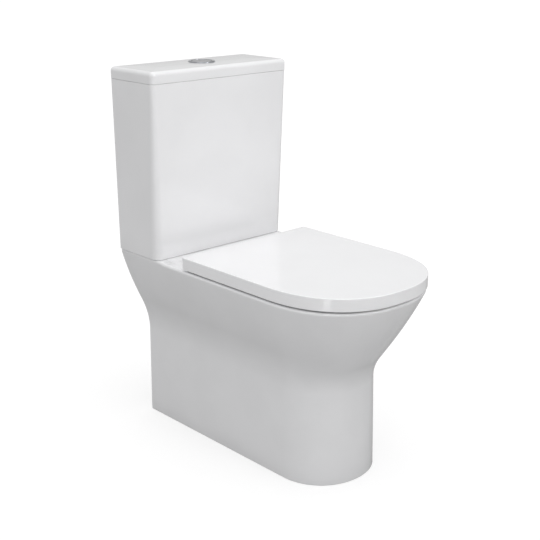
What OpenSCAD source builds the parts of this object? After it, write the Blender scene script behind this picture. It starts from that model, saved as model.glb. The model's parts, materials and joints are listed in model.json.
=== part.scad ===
// Close coupled toilet: a back-to-wall vitreous china pan with a cistern standing on its deck,
// a wrap-over seat and cover on top-fixed hinges, and the dual flush valve, float valve
// and fixings inside. Millimetres, +Z up, the wall is towards +Y and the front towards -Y.
// The origin is on the floor, midway between the wall and the front of the pan.
// Lengths called "from the wall" grow towards the front.

/* [Pan] */
// Length of the pan, from the wall to the front of the rim
pan_l = 660; // [630:1:700]
// Height of the rim and of the deck that carries the cistern
deck_z = 406; // [390:1:440]
// Width of the deck and the rim
deck_w = 359; // [345:1:375]
// Width of the foot at the floor
foot_w = 221; // [200:1:250]
// Length of the foot at the floor, from the wall
foot_l = 557; // [520:1:590]
// How much the foot narrows on each side up to the flare
foot_draft = 3; // [0:0.5:6]
// Height where the sides bend out into the flare
side_knee = 251; // [235:1:270]
// Height where the front bends out into the flare
front_knee = 232; // [215:1:250]
// Half the height over which that bend is eased
knee_ease = 32; // [15:1:40]
// Distance from the wall at which the rim starts to curve in to the front
rim_straight = 466; // [440:1:490]
// Distance from the wall at which the foot starts to curve in to the front
foot_straight = 449; // [420:1:470]
// Squareness of the rim's front curve, 2 for an ellipse
rim_square = 2.3; // [2:0.05:2.6]
// Squareness of the foot's front curve
foot_square = 2.1; // [2:0.05:2.6]
// Radius of the outer edge of the rim and deck
rim_edge_r = 5; // [3:0.5:8]
// Thickness of the china walls
china_t = 12; // [9:0.5:14]
// Thickness of the deck and rim
deck_t = 16; // [14:0.5:20]

/* [Bowl] */
// Width of the bowl's mouth
bowl_w = 252; // [230:1:260]
// Width of the rim in front of the bowl
front_rim = 49; // [44:1:60]
// Rear of the bowl's mouth, from the wall
bowl_rear = 272; // [262:1:290]
// Height of the bowl's floor, where the sump begins
sump_top_z = 225; // [210:1:240]
// Height of the bottom of the sump
sump_z = 70; // [64:1:76]
// Width of the sump
sump_w = 96; // [84:1:110]
// Rear of the sump, from the wall
sump_rear = 335; // [325:1:345]
// Front of the sump, from the wall
sump_front = 427; // [415:1:445]
// Radius of the bowl's inner rim edge
bowl_edge_r = 7; // [4:0.5:10]

/* [Trapway and outlet] */
// Radius of the water passage
passage_r = 36; // [33:0.5:37]
// Height of the outlet's centre above the floor
outlet_z = 180; // [170:1:190]
// Outer radius of the outlet spigot
outlet_r = 51; // [50:0.5:55]
// End of the outlet spigot, from the wall
outlet_end = 65; // [50:1:80]
// Length of the straight outlet spigot
outlet_l = 50; // [40:1:60]
// Height of the trapway's centre line over the weir
weir_z = 232; // [228:1:238]

/* [Cistern] */
// Width of the cistern at the top
cis_top_w = 369; // [350:1:374]
// Width of the cistern at the base
cis_base_w = 358.4; // [340:0.2:368]
// Depth of the cistern at the top
cis_top_l = 145; // [138:0.5:165]
// Depth of the cistern at the base
cis_base_l = 134.5; // [128:0.5:155]
// Height of the cistern from base to top edge
cis_h = 371; // [340:1:420]
// Gap between the cistern and the deck, filled by the coupling gasket
cis_gap = 3; // [2:0.5:5]
// Thickness of the cistern's walls
cis_t = 9; // [7:0.5:11]
// Thickness of the cistern's floor
cis_floor_t = 12; // [10:0.5:15]
// Radius of the front corners at the top
cis_top_r = 10; // [8:0.5:14]
// Radius of the front corners at the base
cis_base_r = 24; // [12:0.5:28]
// Radius of the rear corners
cis_rear_r = 5; // [4:0.5:8]
// Distance of the cistern's holes from the wall
valve_line = 67; // [62:0.5:72]
// Distance between the two wall screw holes
wall_screw_span = 180; // [120:1:240]
// Radius of the wall screw holes
wall_screw_r = 4; // [3:0.5:5]
// Depth of the wall screw holes' centres below the cistern's top edge
wall_screw_drop = 45; // [35:1:60]

/* [Cistern lid] */
// Height of the lid's edge
lid_h = 25; // [20:0.5:32]
// How far the lid stands out past the cistern on each side
lid_over = 0.5; // [0:0.1:1]
// Radius of the lid's top edge
lid_edge_r = 9; // [5:0.5:12]
// Rise of the lid's top from its edge to its middle
lid_crown = 1.6; // [0:0.1:3]
// Thickness of the lid's top
lid_t = 10; // [8:0.5:12]
// Depth of the lip that locates the lid in the cistern
lid_lip = 6; // [4:0.5:10]
// Running gap under the lid
lid_gap = 0.3; // [0.2:0.1:0.6]

/* [Flush buttons] */
// Outer radius of the chrome ring round the buttons
bezel_r = 29; // [27:0.5:32]
// Distance of the buttons' centre from the wall
button_line = 76; // [72:0.5:80]
// Radius of the pair of buttons
button_r = 22; // [20:0.5:23]
// Thickness of each button
button_h = 9; // [7:0.5:11]
// Travel of each button
button_travel = 6; // [4:0.5:7]
// Distance of the split between the buttons from their centre
button_split = 5; // [3:0.5:7]
// Height of the ring above the lid
bezel_h = 2.5; // [1.5:0.5:4]
// Radius of the threaded push rods
rod_r = 2.2; // [1.8:0.1:2.6]

/* [Seat] */
// How far the cover's sides lie inside the pan's
cover_side_in = 3; // [1:0.5:6]
// How far the cover's front lies behind the front of the rim
cover_setback = 1; // [0:0.5:4]
// Rear edge of the cover, from the wall
cover_rear = 214; // [208:1:222]
// Height of the cover's edge
cover_h = 26; // [24:0.5:30]
// Gap between the cover's edge and the rim
cover_gap = 3.5; // [3:0.5:5]
// Thickness of the cover's top
cover_t = 5.5; // [4:0.5:6]
// Thickness of the cover's edge
cover_wall = 4.5; // [3.5:0.5:5]
// Thickness of the seat ring at its crown
ring_h = 17; // [15:0.5:17.5]
// Clearance between the ring and the cover's edge
ring_gap = 1.5; // [1:0.5:3]
// Width of the opening in the seat ring
ring_hole_w = 212; // [190:1:225]
// Width of the ring at the front
ring_front_w = 56; // [50:1:70]
// Rear of the opening in the ring, from the wall
ring_hole_rear = 296; // [286:1:310]
// Distance between the two seat hinges
hinge_span = 155; // [140:1:165]
// Radius of the hinge pins
pin_r = 5; // [4:0.5:5.5]
// Radial running clearance of the hinge bores
pin_gap = 0.05; // [0.03:0.01:0.09]
// Width of each hinge post
post_w = 15; // [12:0.5:18]
// Width of each hinge knuckle
knuckle_w = 18; // [14:0.5:20]

/* [Cistern fittings] */
// Radius of the flush valve's tail
tail_r = 29; // [27:0.5:31]
// Distance between the two cistern bolts
bolt_span = 240; // [236:1:246]
// Radius of the cistern bolts' shanks
bolt_r = 4; // [3:0.5:5]
// Distance of the float valve from the middle of the cistern
float_x = 78; // [76:1:80]
// Radius of the float valve's threaded tail
inlet_r = 10.3; // [9:0.1:11]
// How much wider the float valve's shank is, inside the cistern's hole and the nut
shank_step = 0.3; // [0.2:0.1:0.6]
// Length of the float valve's tail below the cistern
inlet_tail = 48; // [35:1:60]
// Outer radius of the float
float_r = 30; // [26:0.5:33]
// Height of the float
float_h = 80; // [60:1:100]
// Travel of the float
float_travel = 12; // [8:0.5:15]

/* [Hidden] */

$fn = 48;
FRONT_STEPS = 12;
SIDE_STEPS = 3;
CORNER_STEPS = 4;
REAR_STEPS = 2;
// Overlap of a cutter past the face that it cuts
CUT = 1;
// Clearance between parts that slide or screw together
FIT = 0.3;
// Clearance of nuts, washers and sleeves on their threads
THREAD_FIT = 0.1;
CHINA = "whitesmoke";
WALL_Y = pan_l / 2;

// Underside of the deck, and the stack of heights from the deck up
under_z = deck_z - deck_t;
cis_z = deck_z + cis_gap;
tank_z = cis_z + cis_floor_t;
cis_top_z = cis_z + cis_h;
lid_z = cis_top_z + lid_gap;
lid_edge_z = lid_z + lid_h;
lid_top_z = lid_edge_z + lid_crown;
lid_under_z = lid_edge_z - lid_t;
cover_z = deck_z + cover_gap;
cover_top_z = cover_z + cover_h;
cover_under_z = cover_top_z - cover_t;
ring_z = cover_z + 0.5;
ring_top_z = ring_z + ring_h;
// Top of the flush valve's head, and the lower end of the push rods above it
head_z = lid_z - 46;
rod_end_z = head_z + button_travel + 3;

// ---- Outlines in plan: half widths and distances from the wall ----

// Right half of an outline, from the middle of its front to the middle of its rear:
// a superellipse quarter, a straight side, an elliptic corner and a flat back
function half_plan(hw, front, straight, rear, rx, ry, square) = concat(
    [for (i = [0:FRONT_STEPS - 1]) let (a = 90 * i / FRONT_STEPS)
        [hw * pow(sin(a), 2 / square), straight + (front - straight) * pow(cos(a), 2 / square)]],
    [for (i = [0:SIDE_STEPS - 1]) [hw, straight + (rear + ry - straight) * i / SIDE_STEPS]],
    [for (i = [0:CORNER_STEPS]) let (a = 90 * i / CORNER_STEPS)
        [hw - rx + rx * cos(a), rear + ry - ry * sin(a)]],
    [for (i = [1:REAR_STEPS]) [(hw - rx) * (1 - i / REAR_STEPS), rear]]
);

// Whole outline at height z, counter-clockwise from above
function plan_ring(hw, front, straight, rear, rx, ry, square, z) =
    let (h = half_plan(hw, front, straight, rear, rx, ry, square))
    concat(
        [for (p = h) [p[0], WALL_Y - p[1], z]],
        [for (i = [len(h) - 2:-1:1]) [-h[i][0], WALL_Y - h[i][1], z]]
    );

// Rounded rectangle at height z, from back to front distances from the wall
function box_ring(hw, back, front, rear_r, front_r, z, steps = 5) = [
    for (c = [[-1, 1, front_r, 180], [1, 1, front_r, 270], [1, 0, rear_r, 0], [-1, 0, rear_r, 90]],
         i = [0:steps])
        let (a = c[3] + 90 * i / steps, d = c[1] == 1 ? front - c[2] : back + c[2])
        [c[0] * (hw - c[2]) + c[2] * cos(a), WALL_Y - d + c[2] * sin(a), z]
];

// Solid skinned over rings of equal length, closed by its first and last ring
module skin(rings) {
    n = len(rings[0]);
    last = (len(rings) - 1) * n;
    polyhedron(
        points = [for (r = rings) each r],
        faces = concat(
            [[for (j = [0:n - 1]) j], [for (j = [n - 1:-1:0]) last + j]],
            [for (i = [0:len(rings) - 2], j = [0:n - 1])
                let (a = i * n + j, b = i * n + (j + 1) % n)
                each [[a, a + n, b + n], [a, b + n, b]]]
        )
    );
}

// The same, with the last ring joined back to the first, which leaves a hole through the middle
module skin_loop(rings) {
    n = len(rings[0]);
    m = len(rings);
    polyhedron(
        points = [for (r = rings) each r],
        faces = [for (i = [0:m - 1], j = [0:n - 1])
            let (a = i * n + j, b = i * n + (j + 1) % n, up = ((i + 1) % m - i) * n)
            each [[a, a + up, b + up], [a, b + up, b]]]
    );
}

// Places children at a distance from the wall, at height z
module from_wall(x, d, z) {
    translate([x, WALL_Y - d, z]) children();
}

// Flat ring
module washer(r, hole_r, h) {
    difference() {
        cylinder(r = r, h = h);
        translate([0, 0, -CUT]) cylinder(r = hole_r, h = h + 2 * CUT);
    }
}

// Round nut with grip ribs round its edge
module grip_nut(r, hole_r, h, ribs) {
    difference() {
        union() {
            cylinder(r = r, h = h);
            for (a = [0:360 / ribs:359]) rotate(a) translate([r - 0.5, 0, 0])
                cylinder(r = 3, h = h, $fn = 24);
        }
        translate([0, 0, -CUT]) cylinder(r = hole_r, h = h + 2 * CUT);
    }
}

// ---- Pan ----

// 0 below the knee and 1 at the top, straight above an eased bend
function flare(z, knee) = z <= knee - knee_ease ? 0
    : z >= knee + knee_ease ? (z - knee) / (deck_z - knee)
    : pow(z - knee + knee_ease, 2) / (4 * knee_ease * (deck_z - knee));

// Outline of the pan's outside at height z, set in by an inset, with its back at rear
function pan_ring(z, inset, rear, corner_r) =
    let (side = flare(z, side_knee), nose = flare(z, front_knee),
         draft = foot_draft * min(z / side_knee, 1),
         foot_hw = foot_w / 2 - draft, foot_nose = foot_l - 2 * draft)
    plan_ring(
        foot_hw + (deck_w / 2 - foot_hw) * side - inset,
        foot_nose + (pan_l - foot_nose) * nose - inset,
        foot_straight + (rim_straight - foot_straight) * nose,
        rear, corner_r, corner_r,
        foot_square + (rim_square - foot_square) * nose,
        z);

// Heights at which the pan's outside is given: straight below and above the eased bends
bend_low = front_knee - knee_ease;
bend_high = side_knee + knee_ease;
skirt_levels = concat(
    [0],
    [for (i = [0:7]) bend_low + (bend_high - bend_low) * i / 7],
    [(bend_high + deck_z) / 2, deck_z - rim_edge_r]
);

// Bowl: from the mouth, at depth 0, to the top of the sump, at depth 1
bowl_lip_z = deck_z - bowl_edge_r;
function bowl_share(depth) = pow(1 - pow(depth, 1.6), 0.74);
function bowl_ring(depth, out, z) =
    let (k = bowl_share(depth), hw = sump_w / 2 + (bowl_w - sump_w) / 2 * k + out,
         front = sump_front + (pan_l - front_rim - sump_front) * k + out,
         rear = sump_rear + (bowl_rear - sump_rear) * k - out)
    plan_ring(hw, front, (sump_rear + sump_front) / 2 + 70 * k, rear,
              hw * (0.3 + 0.52 * k), (front - rear) * 0.27, 2.1, z);
function bowl_z(depth) = bowl_lip_z + (sump_top_z - bowl_lip_z) * depth;
bowl_depths = [0, 0.15, 0.3, 0.45, 0.6, 0.75, 0.87, 0.95, 1];

pan_bowl_outside = concat(
    [bowl_ring(1, china_t - 6, sump_z - china_t), bowl_ring(1, china_t, sump_z - china_t + 8)],
    [for (i = [len(bowl_depths) - 1:-1:0]) let (d = bowl_depths[i])
        bowl_ring(d, china_t, min(bowl_z(d) - china_t * d * d, under_z))]
);
pan_cavity = [for (i = [len(skirt_levels) - 1:-1:0])
    pan_ring(min(skirt_levels[i], under_z), china_t * 1.05, china_t, 2)];
pan_outside = concat(
    [for (z = skirt_levels) pan_ring(z, 0, 0, 2)],
    [for (a = [30, 60, 90])
        pan_ring(deck_z - rim_edge_r * (1 - sin(a)), rim_edge_r * (1 - cos(a)), 0, 2)]
);
pan_bowl_inside = concat(
    [for (a = [0, 30, 60])
        bowl_ring(0, bowl_edge_r * (1 - sin(a)), deck_z - bowl_edge_r * (1 - cos(a)))],
    [for (d = bowl_depths) bowl_ring(d, 0, bowl_z(d))],
    [bowl_ring(1, -2, sump_z + 24), bowl_ring(1, -12, sump_z + 5), bowl_ring(1, -22, sump_z)]
);

// Trapway centre line: out of the sump, a bend up, a bend over the weir and down,
// and a bend back to level at the outlet
sump_line = sump_z + passage_r + 2;
bend_r = passage_r + china_t + 2;
fall_angle = acos((outlet_z - weir_z + 2 * bend_r) / (2 * bend_r));
rise_y = WALL_Y - sump_rear + 18;
weir_y = rise_y + 2 * bend_r;
fall_y = weir_y + 2 * bend_r * sin(fall_angle);

// Flush way: recess for the gasket in the deck, throat and duct to the rear of the bowl
recess_r = 48;
recess_h = 28;
duct_w = 70;
duct_h = 36;
duct_top_z = deck_z - recess_h - 6;
duct_z = duct_top_z - duct_h;
// Hole in the deck for the float valve's nut, and a connector reaching up to its tail
supply_hole_r = 20;
bolt_hole_r = bolt_r + 2.5;
sleeve_r = 7.5;
// Lugs inside the foot for the floor screws
lug_w = 48;
lug_l = 40;
lug_hole_r = 5;
lug_x = foot_w / 2 - china_t - 22;
lug_line = 150;

module china_pan() {
    color(CHINA) difference() {
        union() {
            skin(concat(pan_bowl_outside, pan_cavity, pan_outside, pan_bowl_inside));
            trap_pipe(passage_r + china_t - 3, sump_rear - 4);
            from_wall(0, outlet_end, outlet_z) rotate([90, 0, 0]) cylinder(r = outlet_r, h = outlet_l);
            flush_way(china_t);
            for (s = [-1, 1]) from_wall(s * lug_x - lug_w / 2, lug_line + lug_l / 2, 0)
                cube([lug_w, lug_l, china_t]);
        }
        trap_pipe(passage_r, sump_rear + 30);
        from_wall(0, outlet_end - CUT, outlet_z) rotate([90, 0, 0])
            cylinder(r = passage_r + 4, h = outlet_l);
        flush_core();
        rear_bay();
        for (s = [-1, 1]) {
            from_wall(s * bolt_span / 2, valve_line, under_z - CUT)
                cylinder(r = bolt_hole_r, h = deck_t + 2 * CUT);
            from_wall(s * hinge_span / 2, hinge_line, under_z - CUT)
                cylinder(r = sleeve_r, h = deck_t + 2 * CUT);
            from_wall(s * lug_x, lug_line, -CUT) cylinder(r = lug_hole_r, h = china_t + 2 * CUT);
        }
        from_wall(float_x, valve_line, under_z - CUT)
            cylinder(r = supply_hole_r, h = deck_t + 2 * CUT);
    }
}

// Water pipe of radius r along the trapway, starting at a distance from the wall.
// Its straight lengths and the joint between the last two bends are a little wider.
module trap_pipe(r, start) {
    lap = 3;
    wide_r = r + 0.6;
    level_pipe(WALL_Y - start, rise_y + lap, sump_line, wide_r);
    bend(rise_y, sump_line + bend_r, -90, 90, r);
    translate([0, rise_y + bend_r, sump_line + bend_r - lap])
        cylinder(r = wide_r, h = weir_z - sump_line - 2 * bend_r + 2 * lap);
    bend(weir_y, weir_z - bend_r, 90 - fall_angle, 90 + fall_angle, r);
    translate([0, weir_y + bend_r * sin(fall_angle), weir_z - bend_r + bend_r * cos(fall_angle)])
        rotate([-90 - fall_angle, 0, 0]) cylinder(r = wide_r, h = 2 * lap, center = true);
    bend(fall_y, outlet_z + bend_r, 270 - fall_angle, fall_angle, r);
    level_pipe(fall_y - lap, WALL_Y - outlet_end - outlet_l + 12, outlet_z, wide_r);
}

module level_pipe(y0, y1, z, r) {
    translate([0, y1, z]) rotate([90, 0, 0]) cylinder(r = r, h = y1 - y0);
}

// Bend in the plane x = 0 about (y, z), turning through sweep degrees from angle from_angle
module bend(y, z, from_angle, sweep, r) {
    translate([0, y, z]) rotate([90, 0, 90]) rotate(from_angle)
        rotate_extrude(angle = sweep) translate([bend_r, 0]) circle(r = r);
}

// Outside of the flush way under the deck
module flush_way(t) {
    from_wall(0, valve_line, duct_top_z - t) cylinder(r = recess_r + t, h = under_z - duct_top_z + t + 1);
    from_wall(-duct_w / 2 - t, bowl_rear + 4, duct_z - t)
        cube([duct_w + 2 * t, bowl_rear + 4 - valve_line + tail_r + t, under_z - duct_z + t + 1]);
}

// Hollow of the flush way
module flush_core() {
    from_wall(0, valve_line, deck_z - recess_h) cylinder(r = recess_r, h = recess_h + CUT);
    from_wall(0, valve_line, duct_z) cylinder(r = tail_r, h = duct_top_z - duct_z + 10);
    from_wall(-duct_w / 2, bowl_rear + 40, duct_z) cube([duct_w, bowl_rear + 40 - valve_line, duct_h]);
}

// Opening in the back of the foot for the waste pipe and the supply
module rear_bay() {
    half_low = foot_w / 2 - china_t - 6;
    half_high = deck_w / 2 - china_t * 2 - 8;
    top = under_z - 22;
    from_wall(0, china_t + 4, 0) rotate([90, 0, 180]) linear_extrude(china_t + 5)
        polygon([[-half_low, -CUT], [half_low, -CUT], [half_low, side_knee], [half_high, top],
                 [-half_high, top], [-half_low, side_knee]]);
}

// ---- Cistern ----

// Outline of the cistern at a share of its height, set in by an inset
function cis_ring(k, inset, z) = box_ring(
    (cis_base_w + (cis_top_w - cis_base_w) * k) / 2 - inset, inset,
    cis_base_l + (cis_top_l - cis_base_l) * k - inset,
    max(cis_rear_r - inset, 1), max(cis_base_r + (cis_top_r - cis_base_r) * k - inset, 2), z);
base_r = 4;

module china_cistern() {
    color(CHINA) difference() {
        skin(concat(
            [for (a = [0, 45]) cis_ring(0, base_r * (1 - sin(a)), cis_z + base_r * (1 - cos(a)))],
            [for (k = [0, 0.5, 1]) cis_ring(k, 0, k == 0 ? cis_z + base_r : cis_z + k * (cis_h - 1))],
            [cis_ring(1, 1, cis_top_z), cis_ring(1, cis_t, cis_top_z)],
            [cis_ring(0.5, cis_t, cis_z + cis_h / 2), cis_ring(0, cis_t, tank_z + 10)],
            [cis_ring(0, cis_t + 10, tank_z)]
        ));
        from_wall(0, valve_line, cis_z - CUT) cylinder(r = tail_r + 2, h = cis_floor_t + 2 * CUT);
        for (s = [-1, 1]) {
            from_wall(s * bolt_span / 2, valve_line, cis_z - CUT)
                cylinder(r = bolt_hole_r, h = cis_floor_t + 2 * CUT);
            from_wall(s * wall_screw_span / 2, -CUT, cis_top_z - wall_screw_drop)
                rotate([90, 0, 0]) cylinder(r = wall_screw_r, h = cis_t + 2 * CUT);
        }
        from_wall(float_x, valve_line, cis_z - CUT) cylinder(r = shank_r + 1, h = cis_floor_t + 2 * CUT);
    }
}

// Outline of the lid, set in by an inset
lid_w = cis_top_w + 2 * lid_over;
lid_l = cis_top_l + lid_over;
function lid_ring(inset, z) = box_ring(lid_w / 2 - inset, inset, lid_l - inset,
    max(cis_rear_r - inset, 1), max(cis_top_r - inset, 1.5), z);
// The lid's locating lip: where it stands, inside the cistern's walls, and its thickness
lip_in = cis_t + lid_over + 1.5;
lip_t = 6;

module china_lid() {
    color(CHINA) difference() {
        skin(concat(
            [for (p = [[lip_in + lip_t + 1, lid_under_z], [lip_in + lip_t, lid_z - lid_lip],
                       [lip_in, lid_z - lid_lip], [lip_in, lid_z], [1, lid_z], [0, lid_z + 1]])
                lid_ring(p[0], p[1])],
            [for (a = [0:22.5:90])
                lid_ring(lid_edge_r * (1 - cos(a)), lid_edge_z - lid_edge_r * (1 - sin(a)))],
            [lid_ring(28, lid_edge_z + lid_crown * 0.6), lid_ring(46, lid_top_z)]
        ));
        from_wall(0, button_line, lid_under_z - CUT)
            cylinder(r = sleeve_out_r + FIT, h = lid_t + lid_crown + 2 * CUT);
    }
}

// ---- Flush buttons ----

button_top_z = lid_top_z + bezel_h - 0.6;
sleeve_in_r = button_r + FIT;
sleeve_out_r = sleeve_in_r + 2.2;
sleeve_z = lid_under_z - 14;
button_z = button_top_z - button_h;
half_rod_x = (button_r + button_split) / 2;
full_rod_x = -(button_r - button_split) / 2;
web_t = 2;
ring_nut_h = 8;
// Depth of the pocket under each button that takes the rod and the spring
pocket_h = 4;
pocket_r = 6.5;

module at_button(z) {
    from_wall(0, button_line, z) children();
}

// Chrome ring with the sleeve that goes through the lid and the web that carries the springs
module chrome_ring() {
    color("silver") at_button(0) difference() {
        rotate_extrude() polygon(concat(
            [[sleeve_in_r, sleeve_z], [sleeve_out_r, sleeve_z], [sleeve_out_r, lid_top_z],
             [bezel_r, lid_top_z]],
            [for (a = [0:15:90]) [bezel_r - (bezel_r - sleeve_in_r) * 0.45 * (1 - cos(a)),
                                  lid_top_z + 0.4 + (bezel_h - 0.4) * sin(a)]],
            [[sleeve_in_r + 0.8, lid_top_z + bezel_h], [sleeve_in_r, lid_top_z + bezel_h - 0.8]]));
        for (a = [45:90:315]) rotate(a) translate([sleeve_in_r - 1, -2, sleeve_z - CUT]) cube([5, 4, 5]);
    }
    color("silver") at_button(sleeve_z + 5) difference() {
        cylinder(r = sleeve_in_r + 0.5, h = web_t);
        for (x = [full_rod_x, half_rod_x]) translate([x, 0, -CUT])
            cylinder(r = rod_r + FIT, h = web_t + 2 * CUT);
    }
}

module ring_nut() {
    color("white") at_button(lid_under_z - ring_nut_h)
        grip_nut(bezel_r + 3, sleeve_out_r + THREAD_FIT, ring_nut_h, 6);
}

// One of the two buttons: side 1 is the small half flush, side -1 the large full flush
module flush_button(side, rod_x) {
    color("silver") at_button(button_z) difference() {
        rotate_extrude() polygon([[0, 0], [button_r, 0], [button_r, button_h - 1.2],
                                  [button_r - 1.2, button_h], [0, button_h]]);
        translate([button_split - (side > 0 ? 2 * button_r - FIT : FIT), -button_r - CUT, -CUT])
            cube([2 * button_r, 2 * (button_r + CUT), button_h + 2 * CUT]);
        translate([rod_x, 0, -CUT]) cylinder(r = pocket_r, h = pocket_h + CUT);
    }
}

module push_rod(rod_x) {
    color("white") at_button(0) translate([rod_x, 0, rod_end_z]) {
        cylinder(r = rod_r, h = button_z + pocket_h - rod_end_z);
        cylinder(r = rod_r + 1.6, h = 5);
    }
}

// Coil spring round a push rod, between the sleeve's web and the button
spring_z = sleeve_z + 5 + web_t;
spring_turns = 4.5;
wire_r = 0.45;
coil_r = 4.6;
module coil_spring(rod_x) {
    steps = 9 * spring_turns;
    rise = (button_z + pocket_h - spring_z - 2 * wire_r - 0.2) / steps;
    color("lightgrey") at_button(0) translate([rod_x, 0, spring_z + wire_r + 0.1]) skin([
        for (i = [0:steps]) let (a = 360 * spring_turns * i / steps)
            [for (k = [0:4]) let (b = -72 * k)
                [(coil_r + wire_r * cos(b)) * cos(a), (coil_r + wire_r * cos(b)) * sin(a),
                 i * rise + wire_r * sin(b)]]]);
}

// ---- Flush valve, at the middle of the cistern ----

flange_r = tail_r + 14;
seal_t = 3;
flange_z = tank_z + seal_t;
seat_z = flange_z + 6;
cage_top_z = seat_z + 42;
overflow_r = 14;
overflow_z = head_z - 50;
rail_x = 22;

module at_valve(z) {
    from_wall(0, valve_line, z) children();
}

module valve_body() {
    color("white") at_valve(0) {
        difference() {
            rotate_extrude() polygon([
                [tail_r - 4, deck_z - recess_h + 2], [tail_r, deck_z - recess_h + 2], [tail_r, flange_z],
                [flange_r, flange_z], [flange_r, seat_z], [flange_r - 3, seat_z],
                [flange_r - 5, cage_top_z], [flange_r - 5, cage_top_z + 3],
                [overflow_r + FIT, cage_top_z + 3], [overflow_r + FIT, cage_top_z],
                [flange_r - 8, cage_top_z], [flange_r - 6, seat_z], [tail_r - 4, seat_z]]);
            for (a = [0:60:300]) rotate(a + 30) translate([tail_r - 6, -12, seat_z + 4])
                cube([24, 24, cage_top_z - seat_z - 10]);
        }
        difference() {
            translate([0, 0, cage_top_z + 2]) cylinder(r1 = 26, r2 = 20, h = 90);
            translate([0, 0, cage_top_z]) cylinder(r = overflow_r + FIT, h = 94);
            for (a = [45:90:315]) rotate(a) translate([8, -4, cage_top_z + 20]) cube([20, 8, 55]);
        }
        for (s = [-1, 1]) difference() {
            translate([s * rail_x - 3, -6, cage_top_z + 2]) cube([6, 12, head_z - cage_top_z]);
            translate([0, 0, cage_top_z]) cylinder(r = overflow_r + 1, h = head_z - cage_top_z - 20);
        }
        difference() {
            translate([-rail_x - 8, -14, head_z - 10]) cube([2 * rail_x + 16, 28, 10]);
            translate([-rail_x + 4, -10, head_z - 11]) cube([2 * rail_x - 8, 20, 8]);
        }
    }
    color("red") from_wall(0, button_line, head_z) for (x = [full_rod_x, half_rod_x])
        translate([x, 0, -1]) cylinder(r = 4, h = 2.5);
}

module valve_washer() {
    color("dimgrey") at_valve(tank_z) washer(flange_r - 1, tail_r + FIT, seal_t);
}

nut_h = 13;
nut_r = tail_r + 8;
module valve_nut() {
    color("white") at_valve(cis_z - nut_h) grip_nut(nut_r, tail_r + THREAD_FIT, nut_h, 8);
}

// Thick foam ring round the nut, squeezed between the cistern and the recess in the deck
module doughnut() {
    floor_z = deck_z - recess_h;
    nut_out = nut_r + 2.5 + FIT;
    color("dimgrey") at_valve(0) rotate_extrude() polygon([
        [tail_r + FIT, floor_z], [recess_r - 4, floor_z], [recess_r - 1, floor_z + 5],
        [recess_r - 1, deck_z], [recess_r + 3, deck_z + FIT], [recess_r + 3, cis_z], [nut_out, cis_z],
        [nut_out, cis_z - nut_h - FIT], [tail_r + FIT, cis_z - nut_h - FIT]]);
}

module plunger() {
    color("dodgerblue") at_valve(0) rotate_extrude() polygon([
        [overflow_r - 2.5, seat_z + seal_t + 0.2], [tail_r - 2, seat_z + seal_t + 0.2],
        [tail_r - 2, seat_z + seal_t + 3], [overflow_r, seat_z + seal_t + 9],
        [overflow_r, overflow_z], [overflow_r - 2.5, overflow_z]]);
}

module plunger_seal() {
    color("darkslategrey") at_valve(seat_z + 0.2) washer(tail_r, overflow_r - 2.5, seal_t);
}

// ---- Float valve ----

head_r = 17;
head_h = 24;
head_under = 14;
riser_r = 11;
riser_drop = 100;
float_drop = 60;
link_reach = 13;
link_r = 2;
riser_top_z = lid_z - riser_drop;
float_z = riser_top_z - float_drop - float_h;
link_line = riser_r + link_reach;
lever_z = riser_top_z + float_travel + 2;
pivot_line = -4;
pivot_up = 6;
lever_pin_r = 1.5;
lever_pin_l = 16;
lever_w = 9;
lever_t = 4;
lever_hub_r = 5;
stop_h = 4;
tail_end_z = cis_z - inlet_tail;
shank_r = inlet_r + shank_step;
inlet_flange_r = 19;
inlet_nut_r = 18;
inlet_nut_h = 10;
inlet_bore_r = 7;

module at_inlet(z) {
    from_wall(float_x, valve_line, z) children();
}

module inlet_body() {
    color("white") at_inlet(0) difference() {
        union() {
            translate([0, 0, tail_end_z]) cylinder(r = inlet_r, h = inlet_tail);
            translate([0, 0, cis_z - inlet_nut_h]) cylinder(r = shank_r, h = flange_z - cis_z + inlet_nut_h);
            translate([0, 0, flange_z]) cylinder(r = inlet_flange_r, h = 4);
            translate([0, 0, flange_z]) cylinder(r = riser_r, h = riser_top_z - flange_z);
            translate([0, 0, float_z - stop_h - FIT]) cylinder(r = riser_r + 3, h = stop_h);
            translate([0, 0, riser_top_z - head_under]) cylinder(r = head_r, h = head_h);
            for (s = [-1, 1]) translate([s * 7 - 1.5, -pivot_line - 5, riser_top_z + 9])
                cube([3, 10, lever_z + pivot_up - riser_top_z - 5]);
            translate([-lever_pin_l / 2, -pivot_line, lever_z + pivot_up]) rotate([0, 90, 0])
                cylinder(r = lever_pin_r, h = lever_pin_l);
        }
        translate([0, 0, tail_end_z - CUT])
            cylinder(r = inlet_bore_r, h = riser_top_z - tail_end_z - head_under + 4);
        translate([0, riser_r, riser_top_z - 30]) cube([6, 12, 8], center = true);
    }
}

module inlet_washer() {
    color("dimgrey") at_inlet(tank_z) washer(inlet_flange_r - 1, shank_r + THREAD_FIT, seal_t);
}

module inlet_nut() {
    color("white") at_inlet(cis_z - inlet_nut_h) difference() {
        cylinder(r = inlet_nut_r, h = inlet_nut_h, $fn = 6);
        translate([0, 0, -CUT]) cylinder(r = shank_r + THREAD_FIT, h = inlet_nut_h + 2 * CUT);
    }
}

module float_cup() {
    color("lightsteelblue") at_inlet(float_z) {
        difference() {
            cylinder(r = float_r, h = float_h);
            translate([0, 0, -CUT]) cylinder(r = riser_r + 0.8, h = float_h + 2 * CUT);
            translate([0, 0, -CUT]) difference() {
                cylinder(r = float_r - 2, h = float_h - 2);
                cylinder(r = riser_r + 3, h = float_h - 2);
            }
        }
        translate([0, -link_line, float_h - 2])
            cylinder(r = link_r, h = lever_z - float_z - float_h + 2, $fn = 24);
    }
}

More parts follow.
